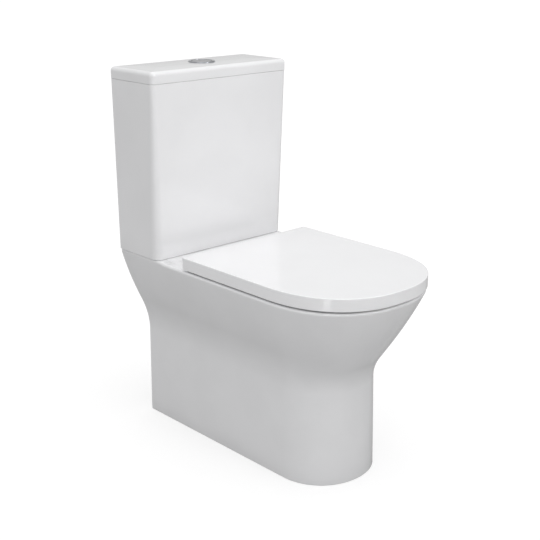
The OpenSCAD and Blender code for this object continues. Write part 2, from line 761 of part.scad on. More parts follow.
module lever() {
    color("white") at_inlet(lever_z + FIT) difference() {
        union() {
            translate([-lever_w / 2, -link_line - 2 * link_r, 0])
                cube([lever_w, link_line + 2 * link_r - pivot_line, lever_t]);
            translate([-lever_w / 2, -pivot_line, pivot_up - FIT]) rotate([0, 90, 0])
                cylinder(r = lever_hub_r, h = lever_w);
        }
        translate([-6, -pivot_line, pivot_up - FIT]) rotate([0, 90, 0])
            cylinder(r = lever_pin_r + pin_gap, h = 12);
    }
}

// ---- Cistern bolts ----

bolt_head_r = 10;
bolt_head_h = 4;
bolt_end = 26;
bolt_seal_r = 12;
bolt_seal_h = 4;
bolt_washer_r = 14;
bolt_washer_t = 2;
wing_nut_r = 9;
wing_nut_h = 9;
wing_l = 14;
wing_t = 3;
wing_drop = 6;

module at_bolts(z) {
    for (s = [-1, 1]) from_wall(s * bolt_span / 2, valve_line, z) children();
}

module bolts() {
    color("gold") at_bolts(0) {
        translate([0, 0, tank_z + bolt_seal_h]) cylinder(r = bolt_head_r, h = bolt_head_h);
        translate([0, 0, under_z - bolt_end])
            cylinder(r = bolt_r, h = tank_z + bolt_seal_h + CUT - under_z + bolt_end);
    }
}

module bolt_seals() {
    color("dimgrey") at_bolts(tank_z) washer(bolt_seal_r, bolt_r + THREAD_FIT, bolt_seal_h);
}

module bolt_washers() {
    color("silver") at_bolts(under_z - bolt_washer_t)
        washer(bolt_washer_r, bolt_r + FIT, bolt_washer_t);
}

module wing_nuts() {
    color("gold") at_bolts(under_z - bolt_washer_t - wing_nut_h) difference() {
        union() {
            cylinder(r = wing_nut_r, h = wing_nut_h);
            for (s = [-1, 1])
                translate([-wing_t / 2, s * (wing_nut_r + 2) - wing_l / 2, -wing_drop])
                cube([wing_t, wing_l, wing_drop + wing_nut_h - 2]);
        }
        translate([0, 0, -wing_drop - CUT])
            cylinder(r = bolt_r + THREAD_FIT, h = wing_drop + wing_nut_h + 2 * CUT);
    }
}

// ---- Seat ----

// Hinge axis: as far from the cover's rear edge as from its lower edge
hinge_r = 12;
cover_buffer_r = 7;
ring_buffer_r = 8;
buffer_back = 150;
buffer_ahead = 90;
cover_w = deck_w - 2 * cover_side_in;
hinge_line = cover_rear + hinge_r;
hinge_z = cover_z + hinge_r;
knuckle_r = cover_under_z - 0.5 - hinge_z;
side_gap = 0.3;

// Outline of the cover, set in by an inset
function cover_ring(inset, z, rear_in = 0) = plan_ring(
    cover_w / 2 - inset, pan_l - cover_setback - inset, rim_straight, cover_rear + max(inset, rear_in),
    max(6 - inset, 2), max(6 - inset, 2), rim_square, z);

// Places children at a hinge, seen along its axis: x outwards, y up, z to the rear
module at_hinges() {
    for (s = [-1, 1]) translate([s * hinge_span / 2, WALL_Y - hinge_line, hinge_z])
        mirror([(1 - s) / 2, 0, 0]) children();
}

// Bar across x, from x0 to x1, about the hinge axis
module axle(x0, x1, r) {
    translate([x0, 0, 0]) rotate([0, 90, 0]) cylinder(r = r, h = x1 - x0);
}

module cover() {
    edge_r = 1.8;
    notch_in = post_w / 2 + knuckle_w + 2.5;
    color(CHINA) difference() {
        union() {
            difference() {
                skin([
                    cover_ring(cover_wall + 9, cover_under_z), cover_ring(cover_wall + 2, cover_under_z),
                    cover_ring(cover_wall, cover_under_z - 2), cover_ring(cover_wall, cover_z),
                    cover_ring(0.8, cover_z), cover_ring(0, cover_z + 0.8),
                    cover_ring(0, cover_top_z - edge_r), cover_ring(edge_r * 0.3, cover_top_z - edge_r * 0.3),
                    cover_ring(edge_r, cover_top_z)
                ]);
                for (s = [-1, 1]) from_wall(s * hinge_span / 2 - notch_in, hinge_line + 1, cover_z - CUT)
                    cube([2 * notch_in, hinge_r + 2, cover_under_z - cover_z + CUT]);
                rear_rounding();
            }
            at_hinges() {
                axle(post_w / 2 + side_gap, post_w / 2 + knuckle_w, knuckle_r);
                translate([post_w / 2 + side_gap, -knuckle_r, 0])
                    cube([knuckle_w - side_gap, knuckle_r * 2, cover_under_z - hinge_z + 1]);
            }
        }
        at_hinges() axle(0, post_w / 2 + knuckle_w - 3, pin_r + pin_gap);
    }
}

// Cuts the lower rear edge of the cover to a quarter round about the hinge axis
module rear_rounding() {
    translate([-cover_w, WALL_Y - hinge_line, hinge_z]) difference() {
        translate([0, 0, -hinge_r - CUT]) cube([2 * cover_w, hinge_r + CUT + 5, hinge_r + CUT]);
        rotate([0, 90, 0]) cylinder(r = hinge_r, h = 2 * cover_w);
    }
}

module cover_buffers() {
    color("lightgrey") for (s = [-1, 1])
        from_wall(s * (ring_hole_w / 2 + 22), rim_straight + 40, ring_top_z + FIT)
            cylinder(r = cover_buffer_r, h = cover_under_z - ring_top_z - FIT);
}

// Outline of the seat ring between its outer edge, at 0, and its opening, at 1
ring_rear = hinge_line + 21;
ring_out = cover_wall + ring_gap;
function seat_outline(k, z) =
    let (hw = (cover_w / 2 - ring_out) * (1 - k) + ring_hole_w / 2 * k,
         front = pan_l - cover_setback - ring_out - (ring_front_w - ring_out) * k,
         rear = ring_rear + (ring_hole_rear - ring_rear) * k,
         rx = 14 + (hw * 0.86 - 14) * k, ry = 14 + 70 * k)
    plan_ring(hw, front, rim_straight + 4 * k, rear, rx, ry, rim_square - 0.2 * k, z);

module ring() {
    color(CHINA) difference() {
        union() {
            skin_loop([
                seat_outline(0.01, ring_z), seat_outline(0, ring_z + 1), seat_outline(0, ring_top_z - 6),
                seat_outline(0.05, ring_top_z - 2.4), seat_outline(0.15, ring_top_z - 0.6),
                seat_outline(0.35, ring_top_z), seat_outline(0.6, ring_top_z - 1),
                seat_outline(0.85, ring_top_z - 4), seat_outline(0.97, ring_top_z - 7.5),
                seat_outline(1, ring_z + 6), seat_outline(0.97, ring_z + 1.5), seat_outline(0.9, ring_z)
            ]);
            at_hinges() {
                axle(-post_w / 2 - knuckle_w, -post_w / 2 - side_gap, knuckle_r);
                translate([-post_w / 2 - knuckle_w, hinge_line - ring_rear - 12, -knuckle_r + 2])
                    cube([knuckle_w - side_gap, ring_rear - hinge_line + 12, knuckle_r + 3]);
            }
        }
        at_hinges() axle(-post_w / 2 - knuckle_w + 3, 0, pin_r + pin_gap);
    }
}

module ring_buffers() {
    color("lightgrey") for (s = [-1, 1], d = [rim_straight - buffer_back, rim_straight + buffer_ahead])
        from_wall(s * (cover_w + ring_hole_w) / 4 * (d > rim_straight ? 0.86 : 1), d, deck_z + FIT)
            rotate(90) cylinder(r = ring_buffer_r, h = ring_z - deck_z - FIT);
}

// Hinge posts on thin base plates. The open cover's rear edge passes close over the plate and
// behind the post, so the plate stays inside the hinge's radius and the post's back is relieved.
plate_h = 1.5;
plate_r = hinge_r - 0.5;
post_back = knuckle_r - 2;
module posts() {
    color("silver") at_hinges() difference() {
        union() {
            translate([0, 0, deck_z - hinge_z]) cylinder(r = plate_r, h = plate_h);
            translate([-post_w / 2, -knuckle_r, deck_z - hinge_z])
                cube([post_w, knuckle_r + post_back, hinge_z - deck_z]);
            axle(-post_w / 2, post_w / 2, knuckle_r);
        }
        axle(-post_w, post_w, pin_r + THREAD_FIT);
        translate([0, 0, deck_z - hinge_z - CUT])
            cylinder(r = hinge_bolt_r + 0.2, h = hinge_z - deck_z - pin_r + CUT);
    }
}

module pins() {
    color("grey") at_hinges() axle(-post_w / 2 - knuckle_w + 3.3, post_w / 2 + knuckle_w - 3.3, pin_r);
}

sleeve_l = 34;
hinge_bolt_r = 3;
sleeve_nut_h = 5.7;
module hinge_bolt_set() {
    color("silver") at_hinges() translate([0, 0, deck_z - hinge_z - sleeve_l - 4])
        cylinder(r = hinge_bolt_r, h = sleeve_l + 4 + hinge_z - deck_z - pin_r - 1);
}

module expanding_sleeves() {
    color("dimgrey") at_hinges() translate([0, 0, deck_z - hinge_z - sleeve_l])
        washer(sleeve_r - FIT, hinge_bolt_r + THREAD_FIT, sleeve_l - FIT);
}

module sleeve_nuts() {
    color("gold") at_hinges() translate([0, 0, deck_z - hinge_z - sleeve_l - sleeve_nut_h - FIT])
        washer(sleeve_r - 1.5, hinge_bolt_r + THREAD_FIT, sleeve_nut_h);
}

china_pan();  // pan
china_cistern();  // cistern
china_lid();  // cistern_lid
chrome_ring();  // button_ring
ring_nut();  // button_ring_nut
flush_button(-1, full_rod_x);  // full_flush_button
flush_button(1, half_rod_x);  // half_flush_button
push_rod(full_rod_x);  // full_flush_rod
push_rod(half_rod_x);  // half_flush_rod
coil_spring(full_rod_x);  // full_flush_spring
coil_spring(half_rod_x);  // half_flush_spring
valve_body();  // flush_valve_body
valve_washer();  // flush_valve_washer
valve_nut();  // flush_valve_nut
doughnut();  // coupling_gasket
plunger();  // overflow_tube
plunger_seal();  // flush_valve_seal
inlet_body();  // float_valve_body
inlet_washer();  // float_valve_washer
inlet_nut();  // float_valve_nut
float_cup();  // float
lever();  // float_lever
bolts();  // cistern_bolts
bolt_seals();  // cistern_bolt_seals
bolt_washers();  // cistern_bolt_washers
wing_nuts();  // cistern_wing_nuts
ring();  // seat_ring
ring_buffers();  // seat_ring_buffers
cover();  // seat_cover
cover_buffers();  // seat_cover_buffers
posts();  // hinge_posts
pins();  // hinge_pins
hinge_bolt_set();  // hinge_bolts
expanding_sleeves();  // hinge_sleeves
sleeve_nuts();  // hinge_sleeve_nuts
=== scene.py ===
# %% [markdown]
# # A close coupled toilet in glazed china
#
# The object is a back-to-wall china pan with a cistern standing on it, a wrap-over plastic seat and
# a chrome dual flush button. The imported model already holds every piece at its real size, so this
# script only gives the pieces their looks: smooth china surfaces in place of the faceted solids,
# threads on the bolts and push rods, and a glaze, plastic, metal or rubber finish on each piece.

# %% Load the frame
import json
import math

import bpy
import numpy as np
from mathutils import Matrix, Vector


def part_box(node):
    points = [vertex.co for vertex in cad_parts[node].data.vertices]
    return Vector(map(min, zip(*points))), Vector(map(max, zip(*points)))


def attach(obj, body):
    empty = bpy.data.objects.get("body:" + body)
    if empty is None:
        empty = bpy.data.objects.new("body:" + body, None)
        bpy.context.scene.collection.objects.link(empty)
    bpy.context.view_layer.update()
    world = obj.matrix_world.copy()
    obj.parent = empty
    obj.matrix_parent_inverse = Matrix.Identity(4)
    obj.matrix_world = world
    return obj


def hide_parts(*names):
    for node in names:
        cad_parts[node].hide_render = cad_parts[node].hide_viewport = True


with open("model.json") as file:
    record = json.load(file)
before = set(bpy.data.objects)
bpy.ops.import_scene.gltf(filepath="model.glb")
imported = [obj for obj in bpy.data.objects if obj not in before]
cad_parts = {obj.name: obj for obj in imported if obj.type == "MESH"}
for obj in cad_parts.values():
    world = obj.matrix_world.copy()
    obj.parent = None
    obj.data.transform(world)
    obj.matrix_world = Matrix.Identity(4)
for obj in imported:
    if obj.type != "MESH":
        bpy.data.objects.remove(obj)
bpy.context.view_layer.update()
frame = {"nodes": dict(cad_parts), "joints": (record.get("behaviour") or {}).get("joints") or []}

nodes = frame["nodes"]

# %% [markdown]
# Lengths are in metres, with the wall towards +Y. It reads well to write them in millimetres and
# multiply by MM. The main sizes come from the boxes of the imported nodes, so that the surfaces below
# follow the solids if those are packed again at another size.

# %% Main sizes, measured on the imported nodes
MM = 0.001
pan_low, pan_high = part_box("pan")
cistern_low, cistern_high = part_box("cistern")
lid_low, lid_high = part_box("cistern_lid")
cover_low, cover_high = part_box("seat_cover")
ring_low, ring_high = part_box("seat_ring")
wall_y = pan_high.y
deck_z, platform_h = pan_high.z, 2.6 * MM
plat_z = deck_z + platform_h
hinge = next(j["pos_m"] for j in frame["joints"] if j["name"] == "seat_cover_hinge")
print("deck height", round(deck_z, 4), "wall at y", round(wall_y, 4), "hinge axis", hinge)

# %% [markdown]
# ## Meshes from rows of rings
#
# Almost every piece here is a skin: a stack of closed outlines, each with as many points as the
# next, joined row by row. A grid of four-sided faces is easy to number with whole arrays, and it
# shades evenly. The first and last outline are closed by one flat face each, or joined to each
# other when the piece has a hole through it, such as a ring or a pipe.

# %% Skins
SHARP = 38


def shade(mesh, sharp=SHARP):
    """Smooth shading, but for edges that turn by more than sharp degrees."""
    mesh.shade_smooth()
    mesh.set_sharp_from_angle(angle=math.radians(sharp))


def mesh_piece(name, points, faces, sharp=SHARP):
    """A mesh object at the origin."""
    mesh = bpy.data.meshes.new(name)
    mesh.from_pydata(points, [], faces)
    mesh.validate()
    shade(mesh, sharp)
    piece = bpy.data.objects.new(name, mesh)
    bpy.context.scene.collection.objects.link(piece)
    return piece


def grid_faces(rows, columns, loop=False):
    """Four-sided faces between neighbouring rows; the columns close on themselves, and so do the
    rows when loop is true. Point (row, column) has the number row * columns + column."""
    row = np.arange(rows if loop else rows - 1)[:, None]
    column = np.arange(columns)[None, :]
    above, beside = (row + 1) % rows, (column + 1) % columns
    corners = (row, column), (row, beside), (above, beside), (above, column)
    quads = [r * columns + c for r, c in corners]
    return np.stack(quads, axis=-1).reshape(-1, 4).tolist()


def skin(name, rings, loop=False, sharp=SHARP):
    """Closed surface over rings, an array of rows x columns x 3, counter-clockwise seen from above
    and climbing on the outside."""
    rows, columns, _ = rings.shape
    faces = grid_faces(rows, columns, loop)
    if not loop:
        last = (rows - 1) * columns
        faces += [list(range(columns - 1, -1, -1)), list(range(last, last + columns))]
    return mesh_piece(name, rings.reshape(-1, 3).tolist(), faces, sharp)


# %% [markdown]
# Two outlines are enough for the whole object. The pan, the seat and the cover share a D: half of a
# superellipse at the front, two straight sides and a flat back with rounded corners. The cistern
# and its lid are rounded rectangles. Both functions take arrays, one entry for each row, so one
# call makes a whole surface.

# %% Outlines in plan
FRONT_COLUMNS, CORNER_COLUMNS, BACK_COLUMNS, BOX_CORNER_COLUMNS = 44, 8, 6, 12
EVEN_SIDE = np.linspace(0, 1, 12, endpoint=False)


def columns_of(*values):
    """Numbers or lists as equally long columns, so that each pairs with every point of a row."""
    return np.broadcast_arrays(*[np.atleast_1d(np.asarray(v, float))[:, None] for v in values])


def d_rings(half_w, front, straight, rear, corner_x, corner_y, square, z, side_at=EVEN_SIDE):
    """D-shaped outlines. Distances d count from the wall. For an angle a from 0 to 90 degrees the
    front is x = half_w * sin(a)^(2/square), d = straight + (front - straight) * cos(a)^(2/square).
    Then come a straight side, a quarter ellipse of corner_x by corner_y and a flat back. side_at
    holds the side points' shares of the way along the straight."""
    half_w, front, straight, rear, corner_x, corner_y, square, z = columns_of(
        half_w, front, straight, rear, corner_x, corner_y, square, z)
    a = np.linspace(0, np.pi / 2, FRONT_COLUMNS, endpoint=False)[None, :]
    side = side_at[None, :]
    bend = np.linspace(0, np.pi / 2, CORNER_COLUMNS)[None, :]
    back = np.linspace(1, 0, BACK_COLUMNS + 1)[None, 1:]
    x = np.hstack([half_w * np.sin(a) ** (2 / square), half_w + 0 * side,
                   half_w - corner_x + corner_x * np.cos(bend), (half_w - corner_x) * back])
    d = np.hstack([straight + (front - straight) * np.cos(a) ** (2 / square),
                   straight + (rear + corner_y - straight) * side,
                   rear + corner_y - corner_y * np.sin(bend), rear + 0 * back])
    x = np.hstack([x, -x[:, -2:0:-1]])
    d = np.hstack([d, d[:, -2:0:-1]])
    return np.stack([x, wall_y - d, np.broadcast_to(z, x.shape)], axis=-1)


def box_rings(half_w, back, front, rear_r, front_r, z):
    """Rounded rectangles: four quarter circles joined by straight sides. A point just past each end
    of an arc keeps the bend's shading off the flat sides."""
    half_w, back, front, rear_r, front_r, z = columns_of(half_w, back, front, rear_r, front_r, z)
    past_end = 2 * MM
    x_parts, y_parts = [], []
    for side, at_front, first in ((-1, True, 180), (1, True, 270), (1, False, 0), (-1, False, 90)):
        a = np.radians(first + np.linspace(0, 90, BOX_CORNER_COLUMNS))[None, :]
        r = front_r if at_front else rear_r
        centre_x = side * (half_w - r)
        centre_y = wall_y - (front - r if at_front else back + r)
        x, y = centre_x + r * np.cos(a), centre_y + r * np.sin(a)
        enter = np.array([-np.sin(a[0, 0]), np.cos(a[0, 0])]) * past_end
        leave = np.array([-np.sin(a[0, -1]), np.cos(a[0, -1])]) * past_end
        x_parts += [x[:, :1] - enter[0], x, x[:, -1:] + leave[0]]
        y_parts += [y[:, :1] - enter[1], y, y[:, -1:] + leave[1]]
    x, y = np.hstack(x_parts), np.hstack(y_parts)
    return np.stack([x, y, np.broadcast_to(z, x.shape)], axis=-1)


def arc(centre, r, first, last, steps=8):
    """Points on a circle in a section, as an array of (across, up), from one angle to another."""
    a = np.radians(np.linspace(first, last, steps))
    return np.stack([centre[0] + r * np.cos(a), centre[1] + r * np.sin(a)], axis=-1)


def quarter(r, steps=8):
    """A quarter round of radius r as two rows of lengths, for angles a from 0 to 90 degrees:
    r * (1 - cos(a)), which grows from 0 to r, and r * (1 - sin(a)), which falls from r to 0."""
    a = np.radians(np.linspace(0, 90, steps))
    return np.array([r * (1 - np.cos(a)), r * (1 - np.sin(a))])


# %% [markdown]
# Holes, recesses and the trapway are cut or joined with Boolean modifiers, and the result is kept
# as the piece's mesh. The cutting bodies are skins too: revolved profiles, pipes along a path and
# straight prisms.

# %% Revolved shapes, pipes, prisms and cuts
def revolve(name, profile, centre, steps=64):
    """Solid of revolution about a vertical axis: each profile point (r, z) becomes a circle of that
    radius at that height. A profile that starts and ends at r = 0 closes in two poles."""
    profile = np.asarray(profile, float)
    a = np.linspace(0, 2 * np.pi, steps, endpoint=False)
    on_axis = profile[:, 0] < 1e-9
    body = profile[~on_axis]
    rings = np.stack([centre[0] + body[:, :1] * np.cos(a), centre[1] + body[:, :1] * np.sin(a),
                      np.broadcast_to(body[:, 1:], (len(body), steps))], axis=-1)
    return skin(name, rings, loop=not on_axis.any())


def pipe_rings(path, r, steps=48):
    """Circles of radius r round a path in the plane x = 0, each square to the path's direction."""
    along = np.gradient(path, axis=0)
    along /= np.linalg.norm(along, axis=1, keepdims=True)
    across = np.stack([along[:, 1], -along[:, 0]], axis=-1)
    a = np.linspace(0, 2 * np.pi, steps, endpoint=False)[None, :]
    x = np.broadcast_to(r * np.cos(a), (len(path), steps))
    y = path[:, :1] + across[:, :1] * r * np.sin(a)
    z = path[:, 1:] + across[:, 1:] * r * np.sin(a)
    return np.stack([x, y, z], axis=-1)


def prism(name, outline, x0, x1):
    """Straight prism along x: one outline of (y, z) points, counter-clockwise seen from +X."""
    outline = np.asarray(outline, float)
    rings = np.stack([np.column_stack([np.full(len(outline), x), outline]) for x in (x0, x1)])
    return skin(name, rings)


def block(name, low, high):
    """Rectangular cutting body between two corners."""
    (x0, y0, z0), (x1, y1, z1) = low, high
    return prism(name, [(y0, z0), (y1, z0), (y1, z1), (y0, z1)], x0, x1)


def combine(piece, others, operation, solver="EXACT"):
    """Joins others to a piece, or cuts them from it, and keeps the result as its mesh. The MANIFOLD
    solver is the quicker one for pieces that are all closed."""
    for other in others:
        step = piece.modifiers.new(other.name, "BOOLEAN")
        step.operation, step.object, step.solver = operation, other, solver
    bpy.context.view_layer.update()
    done = piece.evaluated_get(bpy.context.evaluated_depsgraph_get())
    mesh = bpy.data.meshes.new_from_object(done)
    piece.modifiers.clear()
    piece.data = mesh
    shade(mesh)
    for other in others:
        bpy.data.objects.remove(other)


def place(piece, body, slot, material, *replaced):
    """Gives a finished piece its body and its finish, and hides the nodes that it stands for; slot is
    not used.
    """
    piece.data.materials.clear()
    piece.data.materials.append(material)
    if replaced:
        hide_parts(*replaced)
    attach(piece, body)
    print(piece.name, "faces", len(piece.data.polygons), "on", body)


# %% [markdown]
# ## Finishes
#
# Glazed china is never quite flat: the glaze pulls into long, low waves as it melts, and its colour
# and gloss drift a little from patch to patch. Both effects, and the wear on metal, are used by
# more than one finish, so each is a node group with its own inputs, built once.

# %% Node helpers
def new_group(name, inputs, result):
    """An empty shader node group with named number inputs and one number as its result. Gives the
    tree, the sockets that bring the inputs in, and the socket that takes the result."""
    tree = bpy.data.node_groups.new(name, "ShaderNodeTree")
    for label, default in inputs:
        socket = tree.interface.new_socket(label, in_out="INPUT", socket_type="NodeSocketFloat")
        socket.default_value = default
    tree.interface.new_socket(result, in_out="OUTPUT", socket_type="NodeSocketFloat")
    given, taken = (tree.nodes.new("NodeGroup" + end) for end in ("Input", "Output"))
    return tree, given.outputs, taken.inputs[result]


def add(tree, kind, settings=(), **inputs):
    """A node with its settings and inputs. An input is a value, or a socket to link from. It is
    named by its label, or by its number as i0, i1 and so on."""
    node = tree.nodes.new("ShaderNode" + kind)
    for key, value in dict(settings).items():
        setattr(node, key, value)
    for label, value in inputs.items():
        numbered = label[0] == "i" and label[1:].isdigit()
        socket = node.inputs[int(label[1:]) if numbered else label]
        if isinstance(value, bpy.types.NodeSocket):
            tree.links.new(value, socket)
        else:
            socket.default_value = value
    return node


def maths(tree, operation, a, b, **settings):
    """The result of one operation on two values or sockets."""
    return add(tree, "Math", {"operation": operation, **settings}, i0=a, i1=b).outputs[0]


def blend(tree, share, first, second):
    """The colour that lies at a share of the way between two colours."""
    return add(tree, "Mix", {"data_type": "RGBA"}, i0=share, i6=first, i7=second).outputs[2]


def noise(tree, scale, detail):
    """Noise on object coordinates."""
    here = add(tree, "TexCoord").outputs["Object"]
    return add(tree, "TexNoise", Vector=here, Scale=scale, Detail=detail).outputs[0]


# %% Waves: the long, low ripple of a fired glaze or a moulding
def build_waves():
    """Height = broad noise + share * fine noise."""
    tree, given, height = new_group("surface_waves", [
        ("Broad Scale", 14), ("Fine Scale", 160), ("Fine Share", 0.1)], "Height")
    broad, fine = noise(tree, given["Broad Scale"], 1.5), noise(tree, given["Fine Scale"], 3.0)
    part = maths(tree, "MULTIPLY", fine, given["Fine Share"])
    tree.links.new(maths(tree, "ADD", broad, part), height)
    return tree


# %% Mottle: faint patches between two values, for colour and roughness
def build_mottle():
    """Mask = noise at one scale, stretched so that most of the surface stays near 0 or 1."""
    tree, given, mask = new_group("soft_mottle", [
        ("Scale", 30), ("Low", 0.35), ("High", 0.65)], "Mask")
    stretched = add(tree, "MapRange", {"interpolation_type": "SMOOTHSTEP"},
                    i0=noise(tree, given["Scale"], 4.0), i1=given["Low"], i2=given["High"])
    tree.links.new(stretched.outputs[0], mask)
    return tree


# %% Edge wear: where a convex edge has been rubbed
def build_edge_wear():
    """Mask = how much a point's curvature stands above the flat value 0.5, broken up by noise."""
    tree, given, mask = new_group("edge_wear", [
        ("Start", 0.52), ("End", 0.6), ("Scale", 300)], "Mask")
    point = add(tree, "NewGeometry").outputs["Pointiness"]
    edge = add(tree, "MapRange", i0=point, i1=given["Start"], i2=given["End"]).outputs[0]
    rubbed = maths(tree, "MULTIPLY", edge, noise(tree, given["Scale"], 3.0))
    tree.links.new(rubbed, mask)
    return tree


waves, mottle, edge_wear = build_waves(), build_mottle(), build_edge_wear()
print("node groups:", [tree.name for tree in (waves, mottle, edge_wear)])


# %% [markdown]
# One function makes every finish from the same few layers: two close colours, two roughness values
# and a wave height, mixed by the groups above. What is the same all over a surface, such as the
# coat, goes on the shader's own socket.

# %% The finish builder
def use_group(tree, group, **inputs):
    """Places a node group in a material with its own values."""
    node = tree.nodes.new("ShaderNodeGroup")
    node.node_tree = group
    for label, value in inputs.items():
        node.inputs[label.replace("_", " ")].default_value = value
    return node


def finish(name, colours, roughness, bump, scales, metallic=0.0, coat=0.0, worn=None, extra=()):
    """A finish from two close colours, two roughness values, a bump height in metres and the
    scales of its mottle, broad waves and fine waves. worn is the colour of its rubbed edges."""
    material = bpy.data.materials.new(name)
    material.use_nodes = True
    tree = material.node_tree
    shader = tree.nodes["Principled BSDF"]
    shader.inputs["Metallic"].default_value = metallic
    shader.inputs["Coat Weight"].default_value = coat
    for label, value in dict(extra).items():
        shader.inputs[label].default_value = value
    mask = use_group(tree, mottle, Scale=scales[0]).outputs["Mask"]
    colour = blend(tree, mask, (*colours[0], 1), (*colours[1], 1))
    if worn:
        rubbed = use_group(tree, edge_wear).outputs["Mask"]
        colour = blend(tree, rubbed, colour, (*worn, 1))
    tree.links.new(colour, shader.inputs["Base Color"])
    rough = add(tree, "MapRange", i0=mask, i3=roughness[0], i4=roughness[1])
    tree.links.new(rough.outputs[0], shader.inputs["Roughness"])
    height = use_group(tree, waves, Broad_Scale=scales[1], Fine_Scale=scales[2]).outputs["Height"]
    relief = add(tree, "Bump", Height=height, Distance=bump, Strength=1.0)
    tree.links.new(relief.outputs[0], shader.inputs["Normal"])
    return material


# %% All finishes
china = finish("white_glaze", [(0.84, 0.84, 0.85), (0.82, 0.82, 0.83)], (0.05, 0.09), 0.15 * MM,
               (9, 11, 90), coat=0.5, extra={"Coat Roughness": 0.03, "Specular IOR Level": 0.5})
bare_china = finish("unglazed_foot", [(0.74, 0.71, 0.66), (0.68, 0.64, 0.58)], (0.75, 0.9),
                    0.4 * MM, (60, 90, 900))
seat_white = finish("white_seat_moulding", [(0.87, 0.87, 0.88), (0.86, 0.86, 0.87)], (0.03, 0.06),
                    0.04 * MM, (12, 16, 220), coat=0.3, extra={"Coat Roughness": 0.04})
white_plastic = finish("white_fitting_plastic", [(0.80, 0.80, 0.77), (0.76, 0.76, 0.73)],
                       (0.32, 0.45), 0.05 * MM, (50, 60, 900))
blue_plastic = finish("blue_fitting_plastic", [(0.07, 0.20, 0.38), (0.05, 0.16, 0.32)],
                      (0.28, 0.4), 0.05 * MM, (50, 60, 900))
chrome = finish("polished_chrome", [(0.40, 0.41, 0.43), (0.34, 0.35, 0.37)], (0.06, 0.12),
                0.01 * MM, (120, 40, 700), metallic=1.0)
steel = finish("brushed_steel", [(0.55, 0.56, 0.57), (0.47, 0.48, 0.49)], (0.26, 0.4), 0.02 * MM,
               (150, 60, 1500), metallic=1.0, worn=(0.75, 0.75, 0.76))
spring_wire = finish("drawn_spring_wire", [(0.5, 0.51, 0.53), (0.4, 0.41, 0.43)], (0.22, 0.34),
                     0.01 * MM, (200, 90, 1800), metallic=1.0)
brass = finish("plain_brass", [(0.66, 0.50, 0.22), (0.52, 0.37, 0.15)], (0.24, 0.42), 0.02 * MM,
               (90, 60, 1200), metallic=1.0, worn=(0.85, 0.70, 0.38))
rubber = finish("black_rubber", [(0.035, 0.035, 0.037), (0.055, 0.055, 0.057)], (0.6, 0.8),
                0.08 * MM, (70, 90, 1400))
buffer_rubber = finish("grey_buffer_rubber", [(0.52, 0.52, 0.52), (0.45, 0.45, 0.45)], (0.45, 0.6),
                       0.04 * MM, (90, 90, 1000))
print("finishes:", len(bpy.data.materials))


# %% [markdown]
# ## The pan
#
# The pan is one casting. Its skirt stands almost straight, then bends out in a long flare to the
# rim. The same D outline is used at every height: only its half width, its reach from the wall and
# the squareness of its front change. A flare that is zero below the knee, straight above it and
# parabolic between gives the soft crease that catches the shade.

# %% Skirt sizes
deck_half, reach = pan_high.x, wall_y - pan_low.y
foot_half, foot_reach, foot_draft = 110.5 * MM, 557 * MM, 3 * MM
side_bend = (242 * MM, 42 * MM, 0.08)
front_bend = (226 * MM, 28 * MM, 0.06)
rim_straight, foot_straight = 466 * MM, 449 * MM
rim_square, foot_square = 2.3, 2.1
rim_edge, foot_round, back_round = 7 * MM, 2 * MM, 2 * MM
china_t, deck_t = 12 * MM, 16 * MM
under_z = deck_z - deck_t
cis_base_l = 136 * MM
platform_l, platform_slope, lift_h = cis_base_l + 3 * MM, 14 * MM, 60 * MM
# Points lie closer together between these two distances from the wall, where the platform begins.
side_shares = [(rim_straight - d * MM) / (rim_straight - back_round) for d in (170, 118)]
PAN_SIDE = np.concatenate([np.linspace(0, side_shares[0], 9)[:-1], np.linspace(*side_shares, 27),
                           np.linspace(side_shares[1], 1, 6)[1:-1]])


def flare(z, knee, ease, swell):
    """How far the skirt has flared at heights z, 0 below the knee and 1 at the deck. Without the
    swell it is t: straight above the knee, with a parabola for ease on each side of the knee that
    meets both in line. The swell adds 4 * swell * t * (1 - t)."""
    bend = (z - knee + ease) ** 2 / (4 * ease * (deck_z - knee))
    straight = (z - knee) / (deck_z - knee)
    t = np.where(z <= knee - ease, 0, np.where(z >= knee + ease, straight, bend))
    return t + 4 * swell * t * (1 - t)


def pan_half(z):
    """Half the width of the skirt at heights z."""
    half = foot_half - foot_draft * np.minimum(z / side_bend[0], 1)
    return half + (deck_half - half) * flare(z, *side_bend)


def skirt_rings(z, inset, rear, z_at=None):
    """Outlines of the pan at heights z, set in by inset, with the back at rear from the wall.
    z_at is where they are put, if that isn't z."""
    z = np.asarray(z, float)
    nose = flare(z, *front_bend)
    tip = foot_reach - 2 * foot_draft * np.minimum(z / side_bend[0], 1)
    return d_rings(pan_half(z) - inset, tip + (reach - tip) * nose - inset,
                   foot_straight + (rim_straight - foot_straight) * nose, rear,
                   back_round, back_round, foot_square + (rim_square - foot_square) * nose,
                   z if z_at is None else z_at, PAN_SIDE)


def raised(rings, share):
    """Lifts rows onto the platform by a share of its height. The lift is whole up to platform_l
    from the wall and falls along platform_slope as 1 - 3t^2 + 2t^3. Sides follow the flare."""
    t = np.clip((wall_y - rings[..., 1] - platform_l) / platform_slope, 0, 1)
    lift = platform_h * (1 - 3 * t ** 2 + 2 * t ** 3) * np.asarray(share, float)[:, None]
    level = rings[..., 2]
    wider = pan_half(level + lift) / pan_half(level)
    return np.stack([rings[..., 0] * wider, rings[..., 1], level + lift], axis=-1)


